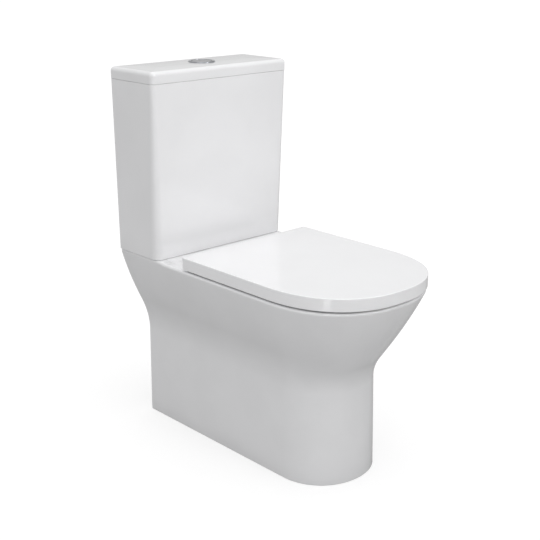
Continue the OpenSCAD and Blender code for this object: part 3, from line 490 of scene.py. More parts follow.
low_bend = min(knee - ease for knee, ease, _ in (side_bend, front_bend))
high_bend = max(knee + ease for knee, ease, _ in (side_bend, front_bend))
skirt_z = np.concatenate([np.linspace(foot_round, low_bend, 7)[:-1],
                          np.linspace(low_bend, high_bend, 40),
                          np.linspace(high_bend, deck_z - rim_edge, 20)[1:]])
lift_share = np.clip((skirt_z - deck_z + lift_h) / (lift_h - rim_edge), 0, 1) ** 2
print("skirt rows:", len(skirt_z))

# %% [markdown]
# The bowl drops from the rim in a curve that is steep at first and then runs in to the sump. Here
# depth goes from 0 at the mouth to 1 at the sump, and the opening's share of the way between the
# two outlines is (1 - depth^1.6)^0.74.

# %% Bowl sizes
bowl_half, sump_half = 126 * MM, 48 * MM
bowl_front, bowl_rear = reach - 49 * MM, 272 * MM
sump_front, sump_rear = 427 * MM, 335 * MM
sump_top_z, sump_z = 225 * MM, 70 * MM
bowl_edge = 7 * MM
bowl_lip_z = deck_z - bowl_edge


def bowl_rings(depth, out, z):
    """Outlines of the bowl at depths from 0 to 1, set out by out, at heights z."""
    depth, out = np.broadcast_arrays(np.atleast_1d(np.asarray(depth, float)), out)
    share = (1 - depth ** 1.6) ** 0.74
    half = sump_half + (bowl_half - sump_half) * share + out
    front = sump_front + (bowl_front - sump_front) * share + out
    rear = sump_rear + (bowl_rear - sump_rear) * share - out
    return d_rings(half, front, (sump_rear + sump_front) / 2 + 70 * MM * share, rear,
                   half * (0.3 + 0.52 * share), (front - rear) * 0.27, 2.1, z, PAN_SIDE)


def bowl_height(depth):
    """Height of the bowl's surface at a depth from 0 to 1."""
    return bowl_lip_z + (sump_top_z - bowl_lip_z) * depth


# %% The casting in one skin: under the bowl, inside and outside of the skirt, rim, bowl and sump
depth = 1 - np.linspace(0, 1, 40) ** 2
rim_in, rim_down = quarter(rim_edge, 13)[:, 1:]
lip_down, lip_out = quarter(bowl_edge, 9)[:, :-1]
foot_up, foot_in = quarter(foot_round, 5)[:, :-1]
inner_z, skirt_t = np.minimum(skirt_z[::-1], under_z), china_t * 1.05

deck_outer = skirt_rings([deck_z], rim_edge, 0)
deck_inner = bowl_rings([0], bowl_edge, [deck_z])
across = np.concatenate([[0.006], np.linspace(0, 1, 72)[1:-1], [0.994]])[:, None, None]
deck_rows = raised(deck_outer + (deck_inner - deck_outer) * across, np.ones(len(across)))

pan = skin("china_pan", np.vstack([
    bowl_rings([1, 1], [china_t - 6 * MM, china_t], [sump_z - china_t, sump_z - china_t + 8 * MM]),
    bowl_rings(depth, china_t, np.minimum(bowl_height(depth) - china_t * depth ** 2, under_z)),
    skirt_rings(inner_z, skirt_t, china_t),
    skirt_rings([0, 0], [skirt_t, skirt_t - 0.5 * MM], china_t, [foot_round, 0]),
    skirt_rings(np.zeros(4), foot_in, 0, foot_up),
    raised(skirt_rings(skirt_z, 0, 0), lift_share),
    raised(skirt_rings(deck_z - rim_down, rim_in, 0), np.ones(len(rim_in))),
    deck_rows,
    bowl_rings(np.zeros(8), lip_out, deck_z - lip_down),
    bowl_rings(depth[::-1], 0, bowl_height(depth[::-1])),
    bowl_rings(np.ones(4), [-1 * MM, -2 * MM, -5 * MM, -12 * MM],
               [sump_z + 80 * MM, sump_z + 26 * MM, sump_z + 12 * MM, sump_z + 5 * MM]),
    bowl_rings([1], -22 * MM, [sump_z]),
]))
print("pan points:", len(pan.data.vertices))

# %% [markdown]
# Behind the bowl the casting carries the trapway, which rises over the weir and falls to the outlet
# spigot, and the flush way, which leads from the cistern's seat to the back of the bowl. They show
# through the open back of the foot, where the waste connector goes. The trapway is a pipe along a
# line of three arcs, and all of it is joined to the skin, then bored out.

# %% Trapway line
passage_r = 36 * MM
weir_z, outlet_z = 232 * MM, 180 * MM
outlet_end, outlet_l, outlet_r = 65 * MM, 50 * MM, 51 * MM
bend_r = passage_r + china_t + 2 * MM
sump_line = sump_z + passage_r + 2 * MM
fall = math.degrees(math.acos((outlet_z - weir_z + 2 * bend_r) / (2 * bend_r)))
rise_y = wall_y - sump_rear + 18 * MM
weir_y = rise_y + 2 * bend_r
fall_y = weir_y + 2 * bend_r * math.sin(math.radians(fall))


def trap_line(start, end):
    """Centre line from a distance start to a distance end from the wall: level, a quarter turn up,
    over the weir and down, and a turn back to level."""
    return np.vstack([
        [(wall_y - start, sump_line)],
        arc((rise_y, sump_line + bend_r), bend_r, -90, 0, 24),
        arc((weir_y, weir_z - bend_r), bend_r, 180, 90 - fall, 40),
        arc((fall_y, outlet_z + bend_r), bend_r, 270 - fall, 270, 20),
        [(wall_y - end, outlet_z)]])


outer_line = trap_line(sump_rear - 4 * MM, outlet_end + outlet_l - 12 * MM)
bore_line = trap_line(sump_rear + 30 * MM, outlet_end - 1 * MM)
print("trapway: weir", round(weir_z - passage_r, 3), "m, outlet centre", outlet_z, "m")


# %% Fittings' places on the deck
valve_y = wall_y - 67 * MM
bolt_x, float_x = 120 * MM, 78 * MM
hinge_x, hinge_y, hinge_z = 77.5 * MM, hinge[1], hinge[2]
recess_r, recess_h, tail_r = 48 * MM, 28 * MM, 29 * MM
duct_half, duct_h = 35 * MM, 36 * MM
duct_top_z = plat_z - recess_h - 6 * MM
duct_z = duct_top_z - duct_h
lug_x, lug_y = foot_half - china_t - 22 * MM, wall_y - 150 * MM
lug_half_w, lug_half_l = 24 * MM, 20 * MM
CUT = 1 * MM


def upright(name, x, y, r, z0, z1, steps=64):
    """Upright round rod."""
    return revolve(name, [(0, z0), (r, z0), (r, z1), (0, z1)], (x, y), steps)


def rod_to_wall(name, z, r, y0, y1, x=0.0, steps=64):
    """Round rod along y: a pipe as for the trapway, on a straight path."""
    rings = pipe_rings(np.array([(y0, z), (y1, z)]), r, steps)
    return skin(name, rings + np.array([x, 0, 0]))


# %% Join the trapway, the spigot, the flush way and the floor lugs
joined = [
    skin("trapway", pipe_rings(outer_line, passage_r + china_t - 3 * MM)),
    rod_to_wall("spigot", outlet_z, outlet_r, wall_y - outlet_end - outlet_l, wall_y - outlet_end),
    upright("recess_wall", 0, valve_y, recess_r + china_t, duct_top_z - china_t, under_z + CUT),
    block("duct_wall", (-duct_half - china_t, wall_y - bowl_rear - 4 * MM, duct_z - china_t),
          (duct_half + china_t, valve_y + tail_r + china_t, under_z + CUT)),
]
for side in (-1, 1):
    x = side * lug_x
    joined.append(block(f"lug_{side}", (x - lug_half_w, lug_y - lug_half_l, 0),
                        (x + lug_half_w, lug_y + lug_half_l, china_t)))
combine(pan, joined, "UNION", "MANIFOLD")
print("joined pan:", len(pan.data.polygons), "faces")

# %% [markdown]
# The back of the foot is open: a tall hole that widens to a flat top, with rounded corners. Its
# outline is six straight lines with small bends between them, pushed through the rear wall.

# %% Bore the passages and open the back
bay_low, bay_high = foot_half - china_t - 6 * MM, deck_half - 2 * china_t - 8 * MM
bay_top = under_z - 22 * MM
supply_hole_r, bolt_hole_r, hinge_hole_r, lug_hole_r = 20 * MM, 6.5 * MM, 7.5 * MM, 5 * MM


def rounded(corners, r):
    """Outline through corners, each replaced by a parabola that starts r before it: points
    (1-t)^2 * before + 2t(1-t) * corner + t^2 * after."""
    corners = np.asarray(corners, float)
    t = np.linspace(0, 1, 6)[:, None]
    bends = []
    for before, corner, after in zip(np.roll(corners, 1, 0), corners, np.roll(corners, -1, 0)):
        start = corner + (before - corner) * r / np.linalg.norm(before - corner)
        end = corner + (after - corner) * r / np.linalg.norm(after - corner)
        bends.append((1 - t) ** 2 * start + 2 * t * (1 - t) * corner + t ** 2 * end)
    return np.vstack(bends)


def bay_cutter():
    """The hole as two equal outlines, one inside the foot and one behind its rear wall."""
    knee_z, below, corner_r = side_bend[0], -30 * MM, 9 * MM
    outline = rounded([(-bay_low, below), (bay_low, below), (bay_low, knee_z),
                       (bay_high, bay_top), (-bay_high, bay_top), (-bay_low, knee_z)], corner_r)
    rings = [np.column_stack([outline[:, 0], np.full(len(outline), y), outline[:, 1]])
             for y in (wall_y + CUT, wall_y - china_t - 4 * MM)]
    return skin("bay", np.stack(rings))


bored = [
    skin("bore", pipe_rings(bore_line, passage_r)),
    rod_to_wall("outlet_bore", outlet_z, passage_r + 4 * MM, wall_y - outlet_end - outlet_l,
                wall_y - outlet_end + CUT),
    upright("recess", 0, valve_y, recess_r, plat_z - recess_h, plat_z + CUT),
    upright("throat", 0, valve_y, tail_r, duct_z, duct_top_z + 10 * MM),
    block("duct", (-duct_half, wall_y - bowl_rear - 40 * MM, duct_z),
          (duct_half, valve_y, duct_top_z)),
    bay_cutter(),
    upright("supply_hole", float_x, valve_y, supply_hole_r, under_z - CUT, plat_z + CUT),
]
for side in (-1, 1):
    for x, y, r, z0, z1 in ((bolt_x, valve_y, bolt_hole_r, under_z, plat_z),
                            (hinge_x, hinge_y, hinge_hole_r, under_z, deck_z),
                            (lug_x, lug_y, lug_hole_r, 0, china_t)):
        bored.append(upright(f"hole_{len(bored)}", side * x, y, r, z0 - CUT, z1 + CUT, 32))
combine(pan, bored, "DIFFERENCE", "MANIFOLD")
place(pan, "root", "china", china, "pan")

# %% [markdown]
# The foot stands on a ring that was wiped clean of glaze before firing. The same mesh takes a
# second material on the faces that look down and lie on the floor.

# %% Bare foot ring
def bare_below(piece, height, material):
    """Gives faces whose centre lies under a height, and that look down, a second material."""
    mesh = piece.data
    mesh.materials.append(material)
    count = len(mesh.polygons)
    centre, normal = np.empty(count * 3), np.empty(count * 3)
    mesh.polygons.foreach_get("center", centre)
    mesh.polygons.foreach_get("normal", normal)
    bare = (centre[2::3] < height) & (normal[2::3] < -0.7)
    mesh.polygons.foreach_set("material_index", bare.astype(np.int32))
    print(piece.name, "bare faces:", int(bare.sum()))


bare_below(pan, 0.6 * MM, bare_china)

# %% [markdown]
# ## The cistern and its lid
#
# The cistern leans out slightly from its base to its top, and its front corners are tight at the
# top and rounder at the base, which makes the bright line down the corner widen as it falls. A
# rounded rectangle whose size and corner radius change with height gives just that.

# %% Cistern
cis_z, cis_top_z = cistern_low.z, cistern_high.z
cis_h = cis_top_z - cis_z
cis_top_half, cis_base_half = cistern_high.x, 180.5 * MM
cis_top_l = wall_y - cistern_low.y
cis_t, cis_floor_t = 9 * MM, 12 * MM
rear_r, top_r, base_r = 5 * MM, 10 * MM, 20 * MM
tank_z, tank_r = cis_z + cis_floor_t, 10 * MM
base_edge, top_edge = 2 * MM, 1.2 * MM
screw_x, screw_z = 90 * MM, cis_top_z - 45 * MM


def cistern_rings(z, inset):
    """Outlines of the cistern at heights z, set in by inset; sizes go straight from base to top."""
    share = np.clip((np.asarray(z, float) - cis_z) / cis_h, 0, 1)
    inset = np.broadcast_to(np.asarray(inset, float), share.shape)
    return box_rings(cis_base_half + (cis_top_half - cis_base_half) * share - inset, inset,
                     cis_base_l + (cis_top_l - cis_base_l) * share - inset,
                     np.maximum(rear_r - inset, 1 * MM),
                     np.maximum(base_r + (top_r - base_r) * share - inset, 2 * MM), z)


base_up, base_in = quarter(base_edge)
edge_in, edge_down = quarter(top_edge)
floor_in, floor_up = quarter(tank_r)
wall_z = np.linspace(cis_z + base_edge, cis_top_z - top_edge, 14)[1:-1]
cistern = skin("china_cistern", np.vstack([
    cistern_rings([cis_z], [base_edge + 2 * MM]),
    cistern_rings(cis_z + base_up, base_in),
    cistern_rings(wall_z, np.zeros(len(wall_z))),
    cistern_rings(cis_top_z - edge_down, edge_in),
    cistern_rings([cis_top_z], [cis_t - top_edge]),
    cistern_rings(cis_top_z - edge_in, cis_t - edge_down),
    cistern_rings(np.linspace(cis_top_z - 4 * MM, tank_z + tank_r, 8), np.full(8, cis_t)),
    cistern_rings(tank_z + floor_up, cis_t + floor_in),
    cistern_rings([tank_z], [cis_t + 14 * MM]),
]))
holes = [upright("tail_hole", 0, valve_y, tail_r + 2 * MM, cis_z - CUT, tank_z + CUT),
         upright("inlet_hole", float_x, valve_y, 11.6 * MM, cis_z - CUT, tank_z + CUT, 48)]
for side in (-1, 1):
    holes += [upright(f"bolt_hole_{side}", side * bolt_x, valve_y, bolt_hole_r,
                      cis_z - CUT, tank_z + CUT, 32),
              rod_to_wall(f"screw_hole_{side}", screw_z, 4 * MM, wall_y - cis_t - CUT,
                          wall_y + CUT, side * screw_x, 32)]
combine(cistern, holes, "DIFFERENCE")
place(cistern, "root", "china", china, "cistern")

# %% [markdown]
# The lid's top edge is a quarter round and its top rises a little to the middle, so that water
# runs off. A lip underneath keeps it in place on the cistern.

# %% Lid
lid_z, lid_lip = cis_top_z + 0.3 * MM, 6 * MM
lid_crown, crown_in, lid_edge_r, lid_t = 1.6 * MM, 60 * MM, 9 * MM, 10 * MM
lid_edge_z = lid_high.z - lid_crown
lid_half, lid_l = lid_high.x, wall_y - lid_low.y
lip_in, lip_t = cis_t + 2 * MM, 6 * MM
button_y, button_hole_r = wall_y - 76 * MM, 24.8 * MM


def lid_rings(inset, z):
    """Outlines of the lid, set in by inset, at heights z."""
    inset = np.asarray(inset, float)
    return box_rings(lid_half - inset, inset, lid_l - inset, np.maximum(rear_r - inset, 1 * MM),
                     np.maximum(top_r - inset, 1.5 * MM), z)


def crown_rings(steps):
    """The top surface: from the edge inwards it rises as sin(90 degrees * share of the way)."""
    share = np.linspace(0.04, 1, steps)
    inset = lid_edge_r + (crown_in - lid_edge_r) * share
    return lid_rings(inset, lid_edge_z + lid_crown * np.sin(share * np.pi / 2))


under_up, under_in = quarter(1 * MM, 5)
lid_in, lid_down = quarter(lid_edge_r, 14)
lip_z, lip_inner = lid_z - lid_lip, lip_in + lip_t
lid = skin("china_lid", np.vstack([
    lid_rings([lip_inner + 1 * MM, lip_inner], [lid_edge_z - lid_t, lip_z + 1 * MM]),
    lid_rings([lip_inner - 1 * MM, lip_in + 1 * MM], [lip_z, lip_z]),
    lid_rings([lip_in, lip_in, lip_in - 1 * MM, 2 * MM],
              [lip_z + 1 * MM, lid_z - 0.2 * MM, lid_z, lid_z]),
    lid_rings(under_in, lid_z + under_up),
    lid_rings(np.zeros(3), np.linspace(lid_z + 2 * MM, lid_edge_z - lid_edge_r - 0.5 * MM, 3)),
    lid_rings(lid_in, lid_edge_z - lid_down),
    crown_rings(10),
]))
combine(lid, [upright("button_hole", 0, button_y, button_hole_r, lid_edge_z - lid_t - CUT,
                      lid_high.z + CUT)], "DIFFERENCE")
place(lid, "lid", "china", china, "cistern_lid")

# %% [markdown]
# ## The seat
#
# The cover is a shallow cap with a thin edge. Its lower rear edge is rounded about the hinge, so
# that it clears the deck as it opens, and two knuckles under it take the hinge pins. The ring lies
# inside the cover's edge: its section is a closed outline, round on top and flat below, carried
# from the outer D to the opening.

# %% Cover
cover_z, cover_top_z = cover_low.z, cover_high.z
cover_t, cover_wall, cover_edge = 5.5 * MM, 4.5 * MM, 1.8 * MM
cover_under_z = cover_top_z - cover_t
cover_half, cover_reach = cover_high.x, wall_y - cover_low.y
cover_rear = wall_y - cover_high.y
cover_inner_r, cover_lip_r, cover_in = 5 * MM, 1.2 * MM, 60 * MM
hinge_r, knuckle_r, knuckle_w, post_w = 12 * MM, 8 * MM, 18 * MM, 15 * MM
pin_r, side_gap, pin_blind = 5 * MM, 0.3 * MM, 3 * MM


def cover_rings(inset, z):
    """Outlines of the cover, set in by inset, at heights z."""
    inset = np.asarray(inset, float)
    corner = np.maximum(6 * MM - inset, 2 * MM)
    return d_rings(cover_half - inset, cover_reach - inset, rim_straight, cover_rear + inset,
                   corner, corner, rim_square, z)


inner_down, inner_in = quarter(cover_inner_r)[:, 1:]
lip_up, lip_in_by = quarter(cover_lip_r, 4)[:, 1:]
cap_in, cap_down = quarter(cover_edge)
cover = skin("seat_cover_cap", np.vstack([
    cover_rings([cover_wall + cover_in, cover_wall + cover_inner_r], [cover_under_z] * 2),
    cover_rings(cover_wall + inner_in, cover_under_z - inner_down),
    cover_rings([cover_wall, cover_wall], [cover_z + 4 * MM, cover_z + 0.3 * MM]),
    cover_rings([cover_wall - 0.3 * MM, cover_lip_r], [cover_z, cover_z]),
    cover_rings(lip_in_by, cover_z + lip_up),
    cover_rings(np.zeros(3),
                np.linspace(cover_z + 2.5 * MM, cover_top_z - cover_edge - 0.5 * MM, 3)),
    cover_rings(cap_in, cover_top_z - cap_down),
    cover_rings([cover_edge + 1.5 * MM, cover_edge + cover_in], [cover_top_z, cover_top_z]),
]))
notch = post_w / 2 + knuckle_w + 2.5 * MM
past = hinge_r + 3 * MM
rear_corner = prism("rear_corner", np.vstack([
    [(hinge_y, hinge_z - past), (hinge_y + past, hinge_z - past), (hinge_y + past, hinge_z)],
    arc((hinge_y, hinge_z), hinge_r, 0, -90, 16)]), -cover_half - CUT, cover_half + CUT)
cuts = [rear_corner]
for side in (-1, 1):
    x = side * hinge_x
    cuts.append(block(f"notch_{side}", (x - notch, hinge_y - 1 * MM, cover_z - CUT),
                      (x + notch, hinge_y + hinge_r + CUT, cover_under_z)))
combine(cover, cuts, "DIFFERENCE")


def add_knuckles(piece, outward, top_z, back):
    """Joins a knuckle beside each post to a piece and bores both for the pins: on the posts' outer
    sides for outward = 1, on the inner ones for -1. A knuckle is a half round below the hinge axis
    and a web above it, up to top_z and from knuckle_r behind the axis to back in front of it."""
    outline = np.vstack([
        arc((hinge_y, hinge_z), knuckle_r, 180, 360, 24),
        [(hinge_y + knuckle_r, top_z), (hinge_y - back, top_z), (hinge_y - back, hinge_z - 1 * MM),
         (hinge_y - knuckle_r - 0.1 * MM, hinge_z)]])
    near, far = post_w / 2 + side_gap, post_w / 2 + knuckle_w
    knuckles, bores = [], []
    for side in (-1, 1):
        x0, x1, deep = side * (hinge_x + outward * np.array([near, far, far - pin_blind]))
        knuckles.append(prism("knuckle", outline, *sorted((x0, x1))))
        bores.append(prism("bore", arc((hinge_y, hinge_z), pin_r + 0.05 * MM, 0, 352.5, 48),
                           *sorted((side * hinge_x, deep))))
    combine(piece, knuckles, "UNION")
    combine(piece, bores, "DIFFERENCE")


add_knuckles(cover, 1, cover_under_z + 2 * MM, knuckle_r + 2 * MM)
place(cover, "cover", "seat_plastic", seat_white, "seat_cover")

# %% Seat ring
ring_z, ring_top_z = ring_low.z, ring_high.z
ring_half, ring_reach = ring_high.x, wall_y - ring_low.y
hole_half, ring_front_w, ring_side_h = 106 * MM, 50 * MM, 4 * MM
ring_rear, hole_rear = wall_y - hinge_y + 21 * MM, 296 * MM


def ring_rings(k, z):
    """Outlines of the seat ring from its outer edge, at k = 0, to its opening, at k = 1."""
    k = np.asarray(k, float)
    half = ring_half + (hole_half - ring_half) * k
    return d_rings(half, ring_reach - ring_front_w * k, rim_straight + 4 * MM * k,
                   ring_rear + (hole_rear - ring_rear) * k, 14 * MM + (half * 0.86 - 14 * MM) * k,
                   14 * MM + 70 * MM * k, rim_square - 0.2 * k, z)


sweep = np.linspace(0, np.pi, 30)
crown_h = ring_top_z - ring_z - ring_side_h
top_k = 0.5 - 0.5 * np.cos(sweep) * (0.88 + 0.12 * np.abs(np.cos(sweep)))
top_z = ring_z + ring_side_h + crown_h * np.sin(sweep) ** 0.55 * (1 - 0.28 * top_k ** 2)
under = np.linspace(0.95, 0.03, 12)
ring = skin("seat_ring_moulding", np.vstack([
    ring_rings([0.008, 0], [ring_z, ring_z + 1 * MM]),
    ring_rings(top_k, top_z),
    ring_rings([0.995, 0.97], [ring_z + 1.5 * MM, ring_z + 0.4 * MM]),
    ring_rings(under, np.full(12, ring_z)),
]), loop=True)
add_knuckles(ring, -1, hinge_z + 3 * MM, 24 * MM)
place(ring, "ring", "seat_plastic", seat_white, "seat_ring")

# %% [markdown]
# ## Flush buttons
#
# The chrome ring stands on the lid and carries a sleeve down through it, with a web across the
# sleeve for the springs. The two buttons share one disc, split off its centre: the larger part
# gives the full flush and the smaller one the half flush. Their tops are dished by half a
# millimetre, which is enough to bend the reflections.

# %% Chrome ring
bezel_r, bezel_h, bezel_edge = 29 * MM, 2.5 * MM, 0.4 * MM
button_r, button_h, button_split = 22 * MM, 9 * MM, 5 * MM
fit, button_round, button_dish, sleeve_t = 0.3 * MM, 1.2 * MM, 0.5 * MM, 2.2 * MM
sleeve_in, sleeve_out = button_r + fit, button_r + fit + sleeve_t
lid_top_z, lid_under_z = lid_high.z, lid_edge_z - lid_t
sleeve_z = lid_under_z - 14 * MM
button_top_z = lid_top_z + bezel_h - 0.6 * MM
button_z = button_top_z - button_h
full_x, half_x = -(button_r - button_split) / 2, (button_r + button_split) / 2
rod_r = 2.2 * MM
shoulder = (bezel_r - sleeve_in) * 0.45
bend = np.radians(np.linspace(0, 90, 16))
ring_profile = np.vstack([
    [(sleeve_in, sleeve_z), (sleeve_out, sleeve_z), (sleeve_out, lid_top_z),
     (bezel_r - 0.3 * MM, lid_top_z)],
    np.column_stack([bezel_r - shoulder * (1 - np.cos(bend)),
                     lid_top_z + bezel_edge + (bezel_h - bezel_edge) * np.sin(bend)]),
    arc((sleeve_in + 1 * MM, lid_top_z + bezel_h - 1 * MM), 1 * MM, 90, 180, 8)])
bezel = revolve("chrome_ring", ring_profile, (0, button_y), 128)
slots = []
for angle in (45, 135, 225, 315):
    a = math.radians(angle)
    x, y = sleeve_in * math.cos(a), button_y + sleeve_in * math.sin(a)
    slots.append(upright(f"slot_{angle}", x, y, 2.6 * MM, sleeve_z - CUT, sleeve_z + 4 * MM, 24))
combine(bezel, slots, "DIFFERENCE")
web = upright("web", 0, button_y, sleeve_in + 0.5 * MM, sleeve_z + 5 * MM, sleeve_z + 7 * MM, 96)
combine(web, [upright(f"rod_hole_{x:.3f}", x, button_y, rod_r + fit, sleeve_z,
                      sleeve_z + 9 * MM, 32) for x in (full_x, half_x)], "DIFFERENCE")
combine(bezel, [web], "UNION")
place(bezel, "lid", "chrome", chrome, "button_ring")

# %% The two buttons
dish = np.linspace(0, 1, 12)
button_profile = np.vstack([
    [(0, button_z), (button_r - 0.4 * MM, button_z), (button_r, button_z + 0.4 * MM)],
    arc((button_r - button_round, button_top_z - button_round), button_round, 0, 90, 8),
    np.column_stack([(button_r - 1.8 * MM) * (1 - dish),
                     button_top_z - button_dish * dish * (2 - dish)])])


def soften(piece, width, angle):
    """A narrow bevel, with two segments, on edges that turn by more than angle degrees."""
    rim = piece.modifiers.new("soften", "BEVEL")
    rim.width, rim.segments, rim.limit_method = width, 2, "ANGLE"
    rim.angle_limit = math.radians(angle)
    return rim


def flush_button(name, body, node, x0, x1, rod_x):
    """The part of the disc that a block from x0 to x1 leaves, with a pocket for its push rod."""
    button = revolve(name, button_profile, (0, button_y), 128)
    span = button_r + CUT
    combine(button, [block("split", (x0, button_y - span, button_z - CUT),
                           (x1, button_y + span, button_top_z + CUT)),
                     upright("pocket", rod_x, button_y, 6.5 * MM, button_z - CUT,
                             button_z + 4 * MM, 48)], "DIFFERENCE")
    soften(button, 0.3 * MM, 60)
    place(button, body, "chrome", chrome, node)


flush_button("full_button_cap", "full_button", "full_flush_button",
             button_split - fit, 2 * button_r, full_x)
flush_button("half_button_cap", "half_button", "half_flush_button",
             -2 * button_r, button_split + fit, half_x)

# %% [markdown]
# ## Threads
#
# A thread is a rod whose radius follows the turn: at height z and angle a the phase is
# z / pitch - a / 360 degrees, and the radius falls from the crest the further the phase is from the
# middle of the turn, by up to the thread's depth. At both ends the thread runs out.

# %% Threaded rods
def threaded(name, x, y, r, pitch, z0, z1, steps=24):
    """Upright threaded rod with crests at radius r and roots 0.54 * pitch deeper, from z0 to z1."""
    rows = int((z1 - z0) / pitch * 8)
    z = np.linspace(z0, z1, rows)[:, None]
    a = np.linspace(0, 2 * np.pi, steps, endpoint=False)[None, :]
    phase = (z / pitch - a / (2 * np.pi)) % 1
    root = 0.54 * pitch
    depth = root * np.clip(np.abs(phase - 0.5) * 2.4 - 0.1, 0, 1)
    run_out = np.clip(np.minimum(z - z0, z1 - z) / (1.5 * pitch), 0, 1)
    local = r - root * (1 - run_out) - depth * run_out
    rings = np.stack([x + local * np.cos(a), y + local * np.sin(a),
                      np.broadcast_to(z, local.shape)], axis=-1)
    return skin(name, rings, sharp=70)


def join(pieces):
    """One object out of several that lie apart or overlap, without cutting them."""
    points, faces = [], []
    for piece in pieces:
        first = len(points)
        points += [tuple(v.co) for v in piece.data.vertices]
        faces += [[first + i for i in face.vertices] for face in piece.data.polygons]
    name = pieces[0].name
    for piece in pieces:
        bpy.data.objects.remove(piece)
    return mesh_piece(name, points, faces)


def domed_head(name, x, y, r, z0, h):
    """Round head with a small chamfer below and a domed top: radius r * cos(a)^0.5 at height
    h * (0.4 + 0.6 * sin(a)), for a from 0 to 90 degrees."""
    a = np.radians(np.linspace(0, 90, 8))[:-1]
    dome = np.column_stack([r * np.cos(a) ** 0.5, z0 + h * 0.4 + h * 0.6 * np.sin(a)])
    return revolve(name, np.vstack([[(0, z0), (r - 0.5 * MM, z0), (r, z0 + 0.5 * MM)], dome,
                                    [(0, z0 + h)]]), (x, y), 48)


bolts = []
for side in (-1, 1):
    x = side * bolt_x
    bolts += [threaded(f"cistern_bolt_{side}", x, valve_y, 4 * MM, 1.25 * MM,
                       under_z - 26 * MM, tank_z - 2 * MM),
              upright(f"shank_{side}", x, valve_y, 3.9 * MM, tank_z - 4 * MM, tank_z + 5 * MM, 32),
              domed_head(f"head_{side}", x, valve_y, 10 * MM, tank_z + 4 * MM, 4 * MM)]
place(join(bolts), "root", "brass", brass, "cistern_bolts")

hinge_bolts = [threaded(f"hinge_bolt_{side}", side * hinge_x, hinge_y, 3 * MM, 1 * MM,
                        deck_z - 38 * MM, hinge_z - pin_r - 1 * MM) for side in (-1, 1)]
place(join(hinge_bolts), "root", "steel", steel, "hinge_bolts")

rod_end_z, rod_foot_r, rod_foot_h = lid_z - 37 * MM, rod_r + 1.6 * MM, 5 * MM
for body, node, x in (("full_button", "full_flush_rod", full_x),
                      ("half_button", "half_flush_rod", half_x)):
    foot = revolve(node + "_foot", [
        (0, rod_end_z), (rod_foot_r - 0.5 * MM, rod_end_z), (rod_foot_r, rod_end_z + 0.5 * MM),
        (rod_foot_r, rod_end_z + rod_foot_h), (0, rod_end_z + rod_foot_h)], (x, button_y), 32)
    rod = threaded(node + "_screw", x, button_y, rod_r, 0.8 * MM, rod_end_z + 4 * MM,
                   button_z + 4 * MM, 20)
    place(join([rod, foot]), body, "white_plastic", white_plastic, node)

# %% [markdown]
# ## Fittings
#
# The other fittings, inside the cistern, under the deck and at the hinges, keep their packed
# solids, each with its own finish. A bevel of a quarter of a millimetre softens their corners.

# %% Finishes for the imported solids
fitting_finishes = [
    (white_plastic, "button_ring_nut flush_valve_body flush_valve_nut float_valve_body "
                    "float_valve_nut float_lever"),
    (blue_plastic, "overflow_tube float"),
    (rubber, "flush_valve_washer flush_valve_seal coupling_gasket float_valve_washer "
             "cistern_bolt_seals hinge_sleeves"),
    (buffer_rubber, "seat_ring_buffers seat_cover_buffers"),
    (spring_wire, "full_flush_spring half_flush_spring"),
    (steel, "cistern_bolt_washers hinge_pins"),
    (brass, "cistern_wing_nuts hinge_sleeve_nuts"),
    (chrome, "hinge_posts"),
]
for material, names in fitting_finishes:
    for name in names.split():
        nodes[name].data.materials.clear()
        nodes[name].data.materials.append(material)
        rim = soften(nodes[name], 0.25 * MM, 40)
        rim.harden_normals = True
    print(material.name, "on", names)

# %% [markdown]
# ## Floor, light and camera
#
# The floor is a plain pale plane. It lights the object as a mid grey would, and is lifted to white
# where it is looked at, like a studio sheet that is lit on its own. The surrounding is a grey that
# brightens a little to the left and to the front. Over it come a wide, soft sun from above, a beam
# on the cistern's front and a low, tall strip at the left, which draws the bright lines down the
# rounded corners. The top of the seat is the brightest, and the left side is the quietest.

# %% Floor
FLOOR_GREY, FLOOR_LIFT = 0.42, 0.62


def build_floor(size):
    """A square floor about the origin, in metres."""
    h = size / 2
    floor = mesh_piece("floor", [(-h, -h, 0), (h, -h, 0), (h, h, 0), (-h, h, 0)], [(0, 1, 2, 3)])
    material = bpy.data.materials.new("pale_floor")
    material.use_nodes = True
    tree = material.node_tree
    shader = tree.nodes["Principled BSDF"]
    shader.inputs["Base Color"].default_value = (FLOOR_GREY, FLOOR_GREY, FLOOR_GREY, 1)
    shader.inputs["Roughness"].default_value = 0.9
    shader.inputs["Specular IOR Level"].default_value = 0.1
    shader.inputs["Emission Color"].default_value = (1, 1, 1, 1)
    seen = add(tree, "LightPath").outputs["Is Camera Ray"]
    lift = maths(tree, "MULTIPLY", seen, FLOOR_LIFT)
    tree.links.new(lift, shader.inputs["Emission Strength"])
    floor.data.materials.append(material)


build_floor(160)

# %% Surroundings and lights
SURROUND, SLOPE = 0.71, (-0.1, -0.06, -0.01)
KEY, BEAM, STRIP = 1.04, 0.7, 0.75


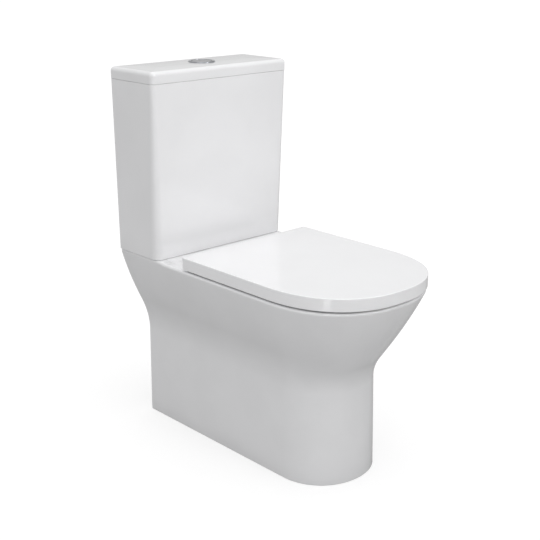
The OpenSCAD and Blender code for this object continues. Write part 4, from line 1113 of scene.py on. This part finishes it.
def build_world(level, slope):
    """White where the camera looks straight at it. For everything that it lights, the grey in a
    direction d is level + slope . d, held between 0 and 1."""
    world = bpy.data.worlds.new("studio")
    world.use_nodes = True
    bpy.context.scene.world = world
    tree = world.node_tree
    backdrop = tree.nodes["Background"]
    seen = add(tree, "LightPath").outputs["Is Camera Ray"]
    direction = add(tree, "TexCoord").outputs["Generated"]
    lean = add(tree, "VectorMath", {"operation": "DOT_PRODUCT"}, i0=direction, i1=slope)
    grey = maths(tree, "ADD", lean.outputs["Value"], level, use_clamp=True)
    tree.links.new(blend(tree, seen, grey, (1, 1, 1, 1)), backdrop.inputs["Color"])


def aim(thing, target):
    """Turns a light so that its -Z axis points at a target."""
    away = np.asarray(thing.location) - np.asarray(target)
    flat = math.hypot(away[0], away[1])
    thing.rotation_euler = (math.atan2(flat, away[2]), 0, math.atan2(away[0], -away[1]))


def add_light(name, kind, place_at, target, energy, **settings):
    """A light at a place, looking at a target."""
    light = bpy.data.lights.new(name, kind)
    light.energy = energy
    for key, value in settings.items():
        setattr(light, key, value)
    lamp = bpy.data.objects.new(name, light)
    lamp.location = place_at
    aim(lamp, target)
    lamp.visible_camera = False
    bpy.context.scene.collection.objects.link(lamp)


build_world(SURROUND, SLOPE)
add_light("key", "SUN", (0.1, -0.7, 4.0), (0, 0, 0.4), KEY, angle=math.radians(70))
add_light("beam", "AREA", (0.5, -2.6, 1.7), (0, 0.2, 0.68), BEAM, shape="RECTANGLE",
          size=0.9, size_y=0.6, spread=math.radians(30))
add_light("strip", "AREA", (-1.0, -0.75, 0.35), (-0.15, 0.15, 0.5), STRIP, shape="RECTANGLE",
          size=0.2, size_y=0.7)
bpy.context.scene.view_settings.view_transform = "Standard"

# %% Camera
camera_data = bpy.data.cameras.new("camera")
camera_data.lens, camera_data.sensor_width = 68.71, 36
camera = bpy.data.objects.new("camera", camera_data)
camera.location = (-1.41766, -1.48996, 1.05755)
camera.rotation_euler = (math.radians(90 - 17.81), 0, math.radians(-42.85))
bpy.context.scene.collection.objects.link(camera)
bpy.context.scene.camera = camera
